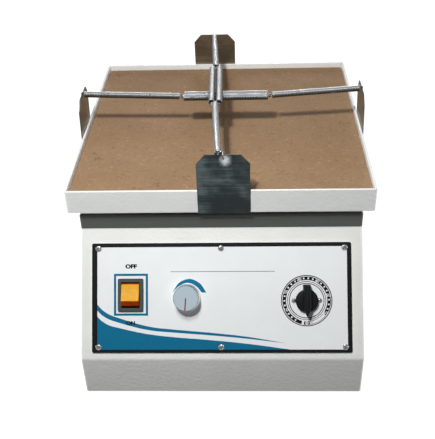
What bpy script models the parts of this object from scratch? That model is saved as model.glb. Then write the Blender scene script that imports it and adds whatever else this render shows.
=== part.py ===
"""Bench rotator for slides and trays: a sheet-steel cabinet with a sloping control face, and on it a
square platform that an eccentric crank swings in a small circle while three idler cranks keep it
from turning. Four folded clips hook under the platform's skirt, and a cross of extension springs
between them holds the load down.

Metres, +Z up, front towards -Y. Pieces are laid out from the spindle's axis and are shifted at the
end, so that the origin lies under the middle of the whole machine."""

import math

import bmesh
import bpy
import numpy as np
from mathutils import Matrix, Vector

# Clearances and cutting
GAP = 0.0003
PIN_CLEARANCE = 0.0003
OVERRUN = 0.003
SHARP_DEG = 32.0

# Sheet metal
SHEET = 0.0012
BEND_RADIUS = 0.003
BEND_STEPS = 3

# Facets round a circle
FINE_STEPS = 24
ROUND_STEPS = 16
SMALL_STEPS = 12
SCREW_STEPS = 8
SLOT_END_STEPS = 2

# Cabinet
FOOT_HEIGHT = 0.008
CABINET_WIDTH = 0.285
LOWER_FACE_HEIGHT = 0.046
SLOPE_RISE = 0.105
SLOPE_RUN = 0.080
NECK_HEIGHT = 0.0175
NECK_DEPTH = 0.273
CREASE_RADIUS = 0.006
SIDE_EDGE_RADIUS = 0.0025

# Platform
PLATFORM_OVERHANG = 0.010
SKIRT_HEIGHT = 0.025
SKIRT_CLEARANCE = 0.0065
PLATFORM_CORNER_RADIUS = 0.003
LIP_DEPTH = 0.0083
MAT_THICKNESS = 0.002
MAT_EDGE_GAP = 0.0006
RIM_EDGE = 0.0004
CORNER_RELIEF_RADIUS = 0.0012

# Orbit drive
ORBIT_RADIUS = 0.0095
SHAFT_RADIUS = 0.006
CRANK_DISC_RADIUS = 0.018
CRANK_DISC_THICKNESS = 0.004
CRANK_PIN_RADIUS = 0.005
HUB_ROOF = 0.002
HUB_BARREL_RADIUS = 0.012
HUB_FLANGE_RADIUS = 0.028
HUB_FLANGE_THICKNESS = 0.0025
BEARING_RADIUS = 0.013
BEARING_WIDTH = 0.008
BEARING_LAND = 0.0015
HOUSING_WALL = 0.004
HOUSING_LENGTH = 0.060
HOUSING_FLANGE_RADIUS = 0.030
HOUSING_FLANGE_THICKNESS = 0.003
DRIVE_LEVEL = 0.088
BELT_WIDTH = 0.008
BELT_THICKNESS = 0.0016
PULLEY_FLANGE = 0.002
DRIVE_PULLEY_RADIUS = 0.060
DRIVE_RIM_THICKNESS = 0.006
DRIVE_WEB_THICKNESS = 0.004
DRIVE_HUB_RADIUS = 0.013
WEB_HOLE_RADIUS = 0.011
WEB_HOLES = 4
MOTOR_PULLEY_RADIUS = 0.008
WEIGHT_RADIUS = 0.052
WEIGHT_THICKNESS = 0.012
WEIGHT_HUB_RADIUS = 0.014
WEIGHT_ABOVE_PULLEY = 0.006

# Idler cranks
IDLERS = 3
IDLER_CIRCLE_RADIUS = 0.100
IDLER_PIN_RADIUS = 0.0025
IDLER_BARREL_RADIUS = 0.007
IDLER_FLANGE_RADIUS = 0.0115
IDLER_FLANGE_THICKNESS = 0.002
IDLER_POST_HEIGHT = 0.0100
IDLER_ARM_THICKNESS = 0.0034
IDLER_ARM_RADIUS = 0.0052

# Motor
MOTOR_X = -0.078
MOTOR_Y = 0.058
MOTOR_RADIUS = 0.034
MOTOR_HEIGHT = 0.058
MOTOR_BOSS_RADIUS = 0.010
MOTOR_SHAFT_RADIUS = 0.003
MOTOR_SHAFT_DEPTH = 0.020
MOTOR_CAP_STEP = 0.0015
BRACKET_SIDE = 0.078
BRACKET_SHEET = 0.002
BRACKET_FOOT = 0.012
BRACKET_BELOW_PULLEY = 0.004

# Base plate and feet
BASE_FLANGE_HEIGHT = 0.012
BASE_SLOTS = 5
BASE_SLOT_LENGTH = 0.050
BASE_SLOT_WIDTH = 0.0032
BASE_SLOT_PITCH = 0.009
FOOT_TOP_RADIUS = 0.011
FOOT_BOTTOM_RADIUS = 0.0095
FOOT_RECESS_RADIUS = 0.004
FOOT_RECESS_DEPTH = 0.003
FOOT_INSET = 0.024

# Control panel, on the sloping face: places are from the panel's middle, right and up the slope
PANEL_SIDE_MARGIN = 0.01175
PANEL_HEIGHT = 0.1105
PANEL_THICKNESS = 0.0012
PANEL_CORNER_RADIUS = 0.002
PANEL_BELOW_MIDDLE = 0.004
SCREW_SIDE_INSET = 0.0068
SCREW_END_INSET = 0.0056
SCREW_HEAD_RADIUS = 0.0030
SCREW_HEAD_HEIGHT = 0.0016
SCREW_SHANK_RADIUS = 0.0015
SCREW_LENGTH = 0.006
SCREW_CROWN_SHARE = 0.7

# Rocker switch
SWITCH_FROM_EDGE = 0.03945
SWITCH_V = 0.003
BEZEL_WIDTH = 0.0258
BEZEL_HEIGHT = 0.033
BEZEL_THICKNESS = 0.0025
BEZEL_CORNER_RADIUS = 0.0015
SWITCH_BODY_WIDTH = 0.0222
SWITCH_BODY_HEIGHT = 0.0294
SWITCH_BODY_DEPTH = 0.024
SWITCH_WELL_DEPTH = 0.009
SWITCH_TAB_LENGTH = 0.007
SWITCH_TAB_WIDTH = 0.005
SWITCH_TAB_THICKNESS = 0.001
ROCKER_WIDTH = 0.0180
ROCKER_FACE_HALF = 0.0092
ROCKER_FACE_HEIGHT = 0.0080
ROCKER_DISH = 0.0008
ROCKER_DISH_STEPS = 6
ROCKER_HALF_LENGTH = 0.0118
ROCKER_SHOULDER_HEIGHT = 0.0030
ROCKER_TILT_DEG = 13.0
ROCKER_DEPTH = 0.004
ROCKER_EDGE = 0.0005
ROCKER_END_ROOM = 0.0012
ROCKER_FLANK_SHARE = 0.95
ROCKER_FOOT_SHARE = 0.35

# Speed control
SPEED_U = -0.0350
SPEED_V = 0.0005
SPEED_KNOB_RADIUS = 0.0127
SPEED_KNOB_BASE_RADIUS = 0.0138
SPEED_KNOB_HEIGHT = 0.015
SPEED_KNOB_SKIRT = 0.003
SPEED_KNOB_EDGE = 0.0008
SPEED_KNOB_WELL_RADIUS = 0.0085
SPEED_POINTER_WIDTH = 0.0013
SPEED_POINTER_DEPTH = 0.0004
SPEED_POINTER_DEG = -94.0
POT_RADIUS = 0.012
POT_DEPTH = 0.012
POT_BUSH_RADIUS = 0.0048
POT_BUSH_HEIGHT = 0.005
POT_SHAFT_RADIUS = 0.0032

# Timer
TIMER_FROM_EDGE = 0.04495
TIMER_V = -0.0032
TIMER_BODY_SIDE = 0.046
TIMER_BODY_DEPTH = 0.034
TIMER_BODY_CORNER_RADIUS = 0.004
TIMER_BOSS_RADIUS = 0.0062
TIMER_STEM_RADIUS = 0.0030
TIMER_SCREW_SPACING = 0.026
TIMER_SCREW_HEAD_RADIUS = 0.0023
TIMER_KNOB_RADIUS = 0.0102
TIMER_DISC_HEIGHT = 0.005
TIMER_BAR_HEIGHT = 0.014
TIMER_BAR_WIDTH = 0.0062
TIMER_BAR_REACH = 0.0155
TIMER_BAR_POINT = 0.0060
TIMER_BAR_END_SLOPE = 0.0014
TIMER_BAR_TOP_SHARE = 0.55

# Back panel fittings
INLET_X = 0.085
INLET_ABOVE_BASE = 0.035
INLET_WIDTH = 0.048
INLET_HEIGHT = 0.0285
INLET_FLANGE = 0.0028
INLET_CORNER_RADIUS = 0.003
INLET_BODY_WIDTH = 0.0300
INLET_BODY_HEIGHT = 0.0220
INLET_BODY_DEPTH = 0.024
INLET_SOCKET_WIDTH = 0.0246
INLET_SOCKET_HEIGHT = 0.0164
INLET_SOCKET_DEPTH = 0.0186
INLET_PIN_LENGTH = 0.0130
INLET_PIN_WIDTH = 0.0020
INLET_PIN_HEIGHT = 0.0040
INLET_PIN_SPACING = 0.0070
INLET_PIN_STAGGER = 0.0020
FUSE_X = 0.036
FUSE_HEX_RADIUS = 0.0082
FUSE_BODY_RADIUS = 0.0062
FUSE_BODY_DEPTH = 0.034
FUSE_FLANGE_THICKNESS = 0.003
FUSE_CAP_RADIUS = 0.0066
FUSE_CAP_HEIGHT = 0.008
FUSE_SLOT_LENGTH = 0.0092
FUSE_SLOT_WIDTH = 0.0016
FUSE_SLOT_DEPTH = 0.0016
BACK_SLOTS = 5
BACK_SLOT_LENGTH = 0.060
BACK_SLOT_WIDTH = 0.0032
BACK_SLOT_PITCH = 0.010
BACK_SLOT_X = -0.060
BACK_SLOT_ABOVE_BASE = 0.080

# Control board
BOARD_X = 0.060
BOARD_Y = -0.135
BOARD_LENGTH = 0.095
BOARD_DEPTH = 0.060
BOARD_THICKNESS = 0.0016
BOARD_LIFT = 0.006
BOARD_PEG_RADIUS = 0.003
SINK_LENGTH = 0.040
SINK_DEPTH = 0.012
SINK_HEIGHT = 0.024
SINK_FINS = 5
CAPACITOR_RADIUS = 0.006
CAPACITOR_HEIGHT = 0.016

# Clips
CLIP_WIDTH = 0.0516
CLIP_ABOVE_RIM = 0.0405
CLIP_SHEET = 0.001
CLIP_CHAMFER_HEIGHT = 0.010
CLIP_CHAMFER_WIDTH = 0.0087
CLIP_DROP = 0.0026
CLIP_INNER_ROOM = 0.003
CLIP_FLANGE_HEIGHT = 0.007
CLIP_BEND_STEPS = 5
CLIP_HOLE_RADIUS = 0.0017
CLIP_HOLE_DROP = 0.0038

# Springs
SPRING_OD = 0.0074
WIRE_RADIUS = 0.0005
CURL_POINTS = 8
SINGLE_CURLS = 9
PAIR_CURLS = 8
PAIR_LENGTH = 0.086
PAIR_GAP = 0.0004
HOOK_LEAD = 0.0006
HOOK_STEPS = 7
HOOK_START_DEG = 12.0
HOOK_SWEEP_DEG = 160.0
SINGLE_LOOP_RADIUS = 0.0032
PAIR_LOOP_RADIUS = 0.0021
PAIR_LOOP_OFFSET = 0.0013
LINK_DISTANCE = 0.00345
PLATE_LOOP_INSET = 0.00225
PLATE_LOOP_DROP = 0.0025
ALONG_PAIR_X = -0.007
ALONG_PAIR_Y = 0.0045
ALONG_PAIR_TURN_DEG = 1.1
ACROSS_PAIR_X = 0.0045
ACROSS_PAIR_Y = -0.016

# Each clip: the way it faces, its hole's place along the skirt, and how far it leans inwards
CLIPS = {
    "front": {"facing": (0, -1), "along": 0.0042, "lean_deg": 0.0},
    "back": {"facing": (0, 1), "along": -0.0127, "lean_deg": 4.0},
    "left": {"facing": (-1, 0), "along": -0.0160, "lean_deg": 2.0},
    "right": {"facing": (1, 0), "along": -0.0100, "lean_deg": 2.0},
}

# Sizes, heights and places that follow from the ones above
PLATFORM_SIDE = CABINET_WIDTH + 2 * PLATFORM_OVERHANG
PANEL_WIDTH = CABINET_WIDTH - 2 * PANEL_SIDE_MARGIN
SWITCH_U = SWITCH_FROM_EDGE - PANEL_WIDTH / 2
TIMER_U = PANEL_WIDTH / 2 - TIMER_FROM_EDGE
CABINET_BOTTOM = FOOT_HEIGHT
CREASE_Z = CABINET_BOTTOM + LOWER_FACE_HEIGHT
NECK_Z = CREASE_Z + SLOPE_RISE
CABINET_TOP = NECK_Z + NECK_HEIGHT
NECK_FRONT = -NECK_DEPTH / 2
CABINET_BACK = NECK_DEPTH / 2
CREASE_Y = NECK_FRONT - SLOPE_RUN
SLOPE_LENGTH = math.hypot(SLOPE_RISE, SLOPE_RUN)
SLOPE_ANGLE = math.atan2(SLOPE_RISE, SLOPE_RUN)
HALF_WIDTH = CABINET_WIDTH / 2
HALF_PLATFORM = PLATFORM_SIDE / 2
SKIRT_BOTTOM = CABINET_TOP + SKIRT_CLEARANCE
RIM_TOP = SKIRT_BOTTOM + SKIRT_HEIGHT
DECK_TOP = RIM_TOP - LIP_DEPTH
DECK_UNDER = DECK_TOP - SHEET
BASE_TOP = CABINET_BOTTOM + SHEET
HOUSING_TOP = CABINET_TOP + GAP + HOUSING_FLANGE_THICKNESS
HOUSING_BOTTOM = HOUSING_TOP - HOUSING_LENGTH
PULLEY_HALF = BELT_WIDTH / 2 + PULLEY_FLANGE
PANEL_V = SLOPE_LENGTH / 2 - PANEL_BELOW_MIDDLE
PANEL_FACE = GAP + PANEL_THICKNESS
SPRING_RADIUS = SPRING_OD / 2 - WIRE_RADIUS
CLIP_TOP = SKIRT_HEIGHT + CLIP_ABOVE_RIM
CHAIN_HEIGHT = CLIP_TOP - CLIP_HOLE_DROP + PLATE_LOOP_DROP
PAIR_LIFT = (SPRING_OD + PAIR_GAP) / 2


def clear_scene():
    for old in list(bpy.data.objects):
        bpy.data.objects.remove(old, do_unlink=True)


def material(name, colour, roughness, metallic=0.0):
    made = bpy.data.materials.new(name)
    made.use_nodes = True
    shader = made.node_tree.nodes["Principled BSDF"]
    shader.inputs["Base Color"].default_value = (*colour, 1.0)
    shader.inputs["Roughness"].default_value = roughness
    shader.inputs["Metallic"].default_value = metallic
    made.diffuse_color = (*colour, 1.0)
    return made


def empty(name, parent=None, place=(0, 0, 0), turn=(0, 0, 0)):
    made = bpy.data.objects.new(name, None)
    bpy.context.scene.collection.objects.link(made)
    made.parent = parent
    made.location = place
    made.rotation_euler = turn
    return made


def node(name, mesh, finish, parent, place=(0, 0, 0), turn=(0, 0, 0)):
    """A piece of the machine, under the empty or piece that carries it."""
    made = bpy.data.objects.new(name, mesh)
    bpy.context.scene.collection.objects.link(made)
    made.parent = parent
    made.location = place
    made.rotation_euler = turn
    mesh.materials.append(finish)
    return made


def helper(name, mesh, carrier):
    """A cutter, or a shape to be joined, in the same place as the piece that it works on."""
    made = bpy.data.objects.new(name, mesh)
    bpy.context.scene.collection.objects.link(made)
    made.parent = carrier.parent
    made.location = carrier.location
    made.rotation_euler = carrier.rotation_euler
    made.hide_render = True
    made.display_type = "WIRE"
    return made


def boolean(piece, mesh, operation="DIFFERENCE"):
    tool = helper(f"{piece.name}_{operation.lower()}_{len(piece.modifiers)}", mesh, piece)
    step = piece.modifiers.new(operation.title(), "BOOLEAN")
    step.operation = operation
    step.object = tool
    step.solver = "EXACT"


def to_mesh(bm, name):
    """Normals out, round faces smooth, corners sharp."""
    bmesh.ops.recalc_face_normals(bm, faces=bm.faces)
    mesh = bpy.data.meshes.new(name)
    bm.to_mesh(mesh)
    bm.free()
    mesh.shade_smooth()
    mesh.set_sharp_from_angle(angle=math.radians(SHARP_DEG))
    return mesh


def add_loft(bm, rings):
    """Closed rings of equal length, joined in order, with a flat cap on the first and the last."""
    made = [[bm.verts.new(point) for point in ring] for ring in rings]
    count = len(made[0])
    for lower, upper in zip(made, made[1:]):
        for i in range(count):
            j = (i + 1) % count
            bm.faces.new((lower[i], lower[j], upper[j], upper[i]))
    bm.faces.new(reversed(made[0]))
    bm.faces.new(made[-1])


def add_prism(bm, outline, low, high, axis="Z"):
    """An outline carried from low to high. It is (x, y) along Z, or (y, z) along X."""
    if axis == "Z":
        rings = [[(a, b, level) for a, b in outline] for level in (low, high)]
    else:
        rings = [[(level, a, b) for a, b in outline] for level in (low, high)]
    add_loft(bm, rings)


def add_box(bm, x, y, z):
    add_prism(bm, [(x[0], y[0]), (x[1], y[0]), (x[1], y[1]), (x[0], y[1])], z[0], z[1])


def circle(radius, steps, centre=(0, 0)):
    angles = [2 * math.pi * i / steps for i in range(steps)]
    return [(centre[0] + radius * math.cos(a), centre[1] + radius * math.sin(a)) for a in angles]


def rounded_rectangle(width, height, radius, centre=(0, 0), steps=BEND_STEPS):
    """The outline of a rectangle with round corners, as (x, y) points, anticlockwise."""
    points = []
    for quarter, (side_x, side_y) in enumerate(((1, 1), (-1, 1), (-1, -1), (1, -1))):
        middle_x = centre[0] + side_x * (width / 2 - radius)
        middle_y = centre[1] + side_y * (height / 2 - radius)
        for step in range(steps + 1):
            angle = math.pi / 2 * (quarter + step / steps)
            points.append((middle_x + radius * math.cos(angle), middle_y + radius * math.sin(angle)))
    return points


def add_turned(bm, profile, steps, centre=(0, 0), closed=False):
    """A profile of (radius, z) points turned about a vertical axis. A closed one has a bore."""
    rings = []
    for radius, z in profile:
        if radius == 0:
            rings.append([bm.verts.new((centre[0], centre[1], z))])
        else:
            rings.append([bm.verts.new((x, y, z)) for x, y in circle(radius, steps, centre)])
    pairs = list(zip(rings, rings[1:]))
    if closed:
        pairs.append((rings[-1], rings[0]))
    for first, second in pairs:
        for i in range(steps):
            j = (i + 1) % steps
            if len(first) == 1:
                bm.faces.new((first[0], second[i], second[j]))
            elif len(second) == 1:
                bm.faces.new((first[i], first[j], second[0]))
            else:
                bm.faces.new((first[i], first[j], second[j], second[i]))


def turned_mesh(name, profile, steps=32, closed=False):
    bm = bmesh.new()
    add_turned(bm, profile, steps, closed=closed)
    return to_mesh(bm, name)


def cylinders_mesh(name, places, radius, low, high, steps=16):
    bm = bmesh.new()
    for place in places:
        add_prism(bm, circle(radius, steps, place), low, high)
    return to_mesh(bm, name)


def inset_outline(corners, inset):
    """The outline of straight runs through corners of (y, z, bend radius), moved inwards by inset,
    with an arc at each bend. The corners run clockwise, seen with y to the right and z up."""
    count = len(corners)
    points = [Vector((y, z)) for y, z, _ in corners]
    normals = []
    for i in range(count):
        run = (points[(i + 1) % count] - points[i]).normalized()
        normals.append(Vector((run.y, -run.x)))
    outline = []
    for i in range(count):
        before, after = normals[i - 1], normals[i]
        mitre = (before + after) / (1 + before.dot(after))
        corner = points[i] + mitre * inset
        radius = corners[i][2]
        if radius == 0:
            outline.append((corner.x, corner.y))
            continue
        turn = before.x * after.y - before.y * after.x
        bend = max(radius - inset, RIM_EDGE) if turn < 0 else radius + inset
        side = 1 if turn < 0 else -1
        middle = corner + mitre * bend * side
        start, end = -before * side, -after * side
        first = math.atan2(start.y, start.x)
        sweep = (math.atan2(end.y, end.x) - first + math.pi) % (2 * math.pi) - math.pi
        for step in range(BEND_STEPS + 1):
            angle = first + sweep * step / BEND_STEPS
            outline.append((middle.x + bend * math.cos(angle), middle.y + bend * math.sin(angle)))
    return outline


def cabinet_corners(bottom):
    """The cabinet's side outline, clockwise from the bottom of the front."""
    return [
        (CREASE_Y, bottom, 0),
        (CREASE_Y, CREASE_Z, CREASE_RADIUS),
        (NECK_FRONT, NECK_Z, BEND_RADIUS),
        (NECK_FRONT, CABINET_TOP, BEND_RADIUS),
        (CABINET_BACK, CABINET_TOP, BEND_RADIUS),
        (CABINET_BACK, bottom, 0),
    ]


def panel_screw_places():
    """The six panel screws, from the panel's middle."""
    across = PANEL_WIDTH / 2 - SCREW_SIDE_INSET
    up = PANEL_HEIGHT / 2 - SCREW_END_INSET
    return [(column * across, row * up) for row in (1, -1) for column in (-1, 0, 1)]


def timer_screw_places():
    return [(TIMER_U + side * TIMER_SCREW_SPACING / 2, TIMER_V) for side in (-1, 1)]


def add_panel_cuts(bm, low, high):
    """The holes that the panel and the sloping face share, in the panel's own directions."""
    width = SWITCH_BODY_WIDTH + 2 * GAP
    height = SWITCH_BODY_HEIGHT + 2 * GAP
    box_x = (SWITCH_U - width / 2, SWITCH_U + width / 2)
    box_y = (SWITCH_V - height / 2, SWITCH_V + height / 2)
    add_box(bm, box_x, box_y, (low, high))
    round_holes = [
        ((SPEED_U, SPEED_V), POT_BUSH_RADIUS + PIN_CLEARANCE, ROUND_STEPS),
        ((TIMER_U, TIMER_V), TIMER_BOSS_RADIUS + PIN_CLEARANCE, ROUND_STEPS),
    ]
    screws = panel_screw_places() + timer_screw_places()
    round_holes += [(place, SCREW_SHANK_RADIUS + PIN_CLEARANCE, SCREW_STEPS) for place in screws]
    for place, radius, steps in round_holes:
        add_prism(bm, circle(radius, steps, place), low, high)


def cabinet_shell(frame, finish):
    """Front, top and back folded from one sheet, with rounded side edges, open underneath."""
    bm = bmesh.new()
    rings = []
    for side in (-1, 1):
        steps = range(BEND_STEPS + 1) if side == 1 else range(BEND_STEPS, -1, -1)
        for step in steps:
            angle = math.pi / 2 * step / BEND_STEPS
            inset = SIDE_EDGE_RADIUS * (1 - math.cos(angle))
            x = side * (HALF_WIDTH - SIDE_EDGE_RADIUS * (1 - math.sin(angle)))
            outline = inset_outline(cabinet_corners(CABINET_BOTTOM), inset)
            ring = [(x, y, z) for y, z in outline]
            for end in (0, -1):
                ring[end] = (x, ring[end][1], CABINET_BOTTOM)
            rings.append(ring)
    add_loft(bm, rings)
    shell = node("cabinet_shell", to_mesh(bm, "cabinet_shell"), finish, frame)

    bm = bmesh.new()
    hollow = inset_outline(cabinet_corners(CABINET_BOTTOM - OVERRUN), SHEET)
    for end in (0, -1):
        hollow[end] = (hollow[end][0], CABINET_BOTTOM - OVERRUN)
    add_prism(bm, hollow, -HALF_WIDTH + SHEET, HALF_WIDTH - SHEET, axis="X")
    boolean(shell, to_mesh(bm, "cabinet_hollow"))

    bm = bmesh.new()
    add_panel_cuts(bm, -SHEET - OVERRUN, OVERRUN)
    bmesh.ops.transform(bm, matrix=panel_matrix(), verts=bm.verts)
    boolean(shell, to_mesh(bm, "cabinet_face_holes"))

    hole = BEARING_RADIUS + HOUSING_WALL + GAP
    low, high = CABINET_TOP - SHEET - OVERRUN, CABINET_TOP + OVERRUN
    boolean(shell, cylinders_mesh("cabinet_top_hole", [(0, 0)], hole, low, high, FINE_STEPS))

    bm = bmesh.new()
    inlet_z = CABINET_BOTTOM + INLET_ABOVE_BASE
    near, far = CABINET_BACK - SHEET - OVERRUN, CABINET_BACK + OVERRUN
    half_width = INLET_BODY_WIDTH / 2 + GAP
    half_height = INLET_BODY_HEIGHT / 2 + GAP
    add_box(
        bm,
        (INLET_X - half_width, INLET_X + half_width),
        (near, far),
        (inlet_z - half_height, inlet_z + half_height),
    )
    fuse = circle(FUSE_BODY_RADIUS + PIN_CLEARANCE, ROUND_STEPS, (FUSE_X, inlet_z))
    add_loft(bm, [[(x, y, z) for x, z in fuse] for y in (near, far)])
    for slot in range(BACK_SLOTS):
        z = CABINET_BOTTOM + BACK_SLOT_ABOVE_BASE + slot * BACK_SLOT_PITCH
        end = BACK_SLOT_WIDTH / 2
        middle = (BACK_SLOT_X, z)
        outline = rounded_rectangle(BACK_SLOT_LENGTH, BACK_SLOT_WIDTH, end, middle, SLOT_END_STEPS)
        add_loft(bm, [[(x, y, level) for x, level in outline] for y in (near, far)])
    boolean(shell, to_mesh(bm, "cabinet_back_cuts"))
    return shell


def panel_matrix():
    """From the panel's own directions, right, up the slope and out, to the spindle's frame."""
    turn = Matrix.Rotation(SLOPE_ANGLE, 4, "X")
    crease = Matrix.Translation((0, CREASE_Y, CREASE_Z))
    return crease @ turn @ Matrix.Translation((0, PANEL_V, 0))


def base_plate(frame, finish):
    """A pan with its flanges turned up inside the cabinet, with cooling slots under the motor."""
    room = SHEET + GAP
    front, back = CREASE_Y + room, CABINET_BACK - room
    half = HALF_WIDTH - room
    middle = (0, (front + back) / 2)
    bm = bmesh.new()
    rings = []
    flange_top = CABINET_BOTTOM + BASE_FLANGE_HEIGHT
    for inset, z in ((0, CABINET_BOTTOM), (0, flange_top), (SHEET, flange_top), (SHEET, BASE_TOP)):
        corner = SHEET * 2 - inset
        width, depth = 2 * (half - inset), back - front - 2 * inset
        outline = rounded_rectangle(width, depth, corner, middle, SLOT_END_STEPS)
        rings.append([(x, y, z) for x, y in outline])
    add_loft(bm, rings)
    plate = node("base_plate", to_mesh(bm, "base_plate"), finish, frame)
    bm = bmesh.new()
    for slot in range(BASE_SLOTS):
        y = MOTOR_Y + (slot - (BASE_SLOTS - 1) / 2) * BASE_SLOT_PITCH
        end = BASE_SLOT_WIDTH / 2
        outline = rounded_rectangle(BASE_SLOT_LENGTH, BASE_SLOT_WIDTH, end, (MOTOR_X, y), SLOT_END_STEPS)
        add_prism(bm, outline, CABINET_BOTTOM - OVERRUN, BASE_TOP + OVERRUN)
    boolean(plate, to_mesh(bm, "base_slots"))


def feet(frame, finish):
    """Tapered rubber feet with a recess for their screw."""
    profile = [
        (0, FOOT_RECESS_DEPTH),
        (FOOT_RECESS_RADIUS, FOOT_RECESS_DEPTH),
        (FOOT_RECESS_RADIUS, 0),
        (FOOT_BOTTOM_RADIUS, 0),
        (FOOT_TOP_RADIUS, FOOT_HEIGHT - GAP),
        (0, FOOT_HEIGHT - GAP),
    ]
    across = HALF_WIDTH - FOOT_INSET
    for end, y in (("front", CREASE_Y + FOOT_INSET), ("back", CABINET_BACK - FOOT_INSET)):
        for side, x in (("left", -across), ("right", across)):
            mesh = turned_mesh(f"foot_{end}_{side}", profile, ROUND_STEPS)
            node(f"foot_{end}_{side}", mesh, finish, frame, (x, y, 0))


def control_panel(panel_frame, finish):
    bm = bmesh.new()
    add_prism(bm, rounded_rectangle(PANEL_WIDTH, PANEL_HEIGHT, PANEL_CORNER_RADIUS), GAP, PANEL_FACE)
    panel = node("control_panel", to_mesh(bm, "control_panel"), finish, panel_frame)
    bm = bmesh.new()
    add_panel_cuts(bm, GAP - OVERRUN, PANEL_FACE + OVERRUN)
    boolean(panel, to_mesh(bm, "panel_holes"))


def screw(name, place, head_radius, panel_frame, finish):
    """A cheese-head screw, its head on the panel."""
    seat = PANEL_FACE + GAP
    length = SCREW_LENGTH
    profile = [
        (0, seat + SCREW_HEAD_HEIGHT),
        (head_radius * SCREW_CROWN_SHARE, seat + SCREW_HEAD_HEIGHT),
        (head_radius, seat + SCREW_HEAD_HEIGHT / 2),
        (head_radius, seat),
        (SCREW_SHANK_RADIUS, seat),
        (SCREW_SHANK_RADIUS, seat - length),
        (0, seat - length),
    ]
    node(name, turned_mesh(name, profile, SCREW_STEPS), finish, panel_frame, (*place, 0))


def rocker_switch(panel_frame, body_finish, rocker_finish):
    """The switch's bezel and body, with its dished rocker on a cross axis, upper end pressed in."""
    seat = PANEL_FACE + GAP
    bezel_top = seat + BEZEL_THICKNESS
    bottom = -SWITCH_BODY_DEPTH
    corner = BEZEL_CORNER_RADIUS
    bm = bmesh.new()
    edge = corner / 3
    rings = []
    for width, height, z in (
        (SWITCH_BODY_WIDTH, SWITCH_BODY_HEIGHT, bottom),
        (SWITCH_BODY_WIDTH, SWITCH_BODY_HEIGHT, seat),
        (BEZEL_WIDTH, BEZEL_HEIGHT, seat),
        (BEZEL_WIDTH, BEZEL_HEIGHT, bezel_top - edge),
        (BEZEL_WIDTH - 2 * edge, BEZEL_HEIGHT - 2 * edge, bezel_top),
    ):
        rings.append([(x, y, z) for x, y in rounded_rectangle(width, height, corner, steps=SLOT_END_STEPS)])
    add_loft(bm, rings)
    place = (SWITCH_U, SWITCH_V, 0)
    body = node("switch_body", to_mesh(bm, "switch_body"), body_finish, panel_frame, place)
    well_half_width = ROCKER_WIDTH / 2 + GAP
    well_half_height = ROCKER_HALF_LENGTH + ROCKER_END_ROOM
    bm = bmesh.new()
    add_box(
        bm,
        (-well_half_width, well_half_width),
        (-well_half_height, well_half_height),
        (-SWITCH_WELL_DEPTH, bezel_top + OVERRUN),
    )
    boolean(body, to_mesh(bm, "switch_well"))
    bm = bmesh.new()
    for column in (-1, 1):
        for row in (-1, 1):
            x = column * SWITCH_BODY_WIDTH / 4
            y = row * SWITCH_BODY_HEIGHT / 4
            add_box(
                bm,
                (x - SWITCH_TAB_THICKNESS / 2, x + SWITCH_TAB_THICKNESS / 2),
                (y - SWITCH_TAB_WIDTH / 2, y + SWITCH_TAB_WIDTH / 2),
                (bottom - SWITCH_TAB_LENGTH, bottom + SWITCH_TAB_THICKNESS),
            )
    boolean(body, to_mesh(bm, "switch_tabs"), "UNION")

    tilt = math.radians(ROCKER_TILT_DEG)
    flank, foot = ROCKER_HALF_LENGTH * ROCKER_FLANK_SHARE, ROCKER_HALF_LENGTH * ROCKER_FOOT_SHARE
    outline = [(-ROCKER_HALF_LENGTH, ROCKER_SHOULDER_HEIGHT)]
    for step in range(ROCKER_DISH_STEPS + 1):
        share = 2 * step / ROCKER_DISH_STEPS - 1
        outline.append((ROCKER_FACE_HALF * share, ROCKER_FACE_HEIGHT - ROCKER_DISH * (1 - share**2)))
    outline += [
        (ROCKER_HALF_LENGTH, ROCKER_SHOULDER_HEIGHT),
        (flank, -ROCKER_SHOULDER_HEIGHT),
        (foot, -ROCKER_DEPTH),
        (-foot, -ROCKER_DEPTH),
        (-flank, -ROCKER_SHOULDER_HEIGHT),
    ]
    bm = bmesh.new()
    add_prism(bm, outline, -ROCKER_WIDTH / 2, ROCKER_WIDTH / 2, axis="X")
    bmesh.ops.rotate(bm, matrix=Matrix.Rotation(-tilt, 3, "X"), verts=bm.verts)
    rocker = node("switch_rocker", to_mesh(bm, "switch_rocker"), rocker_finish, panel_frame, place)
    softened = rocker.modifiers.new("Edges", "BEVEL")
    softened.width = ROCKER_EDGE
    softened.segments = 1
    softened.limit_method = "ANGLE"


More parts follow.
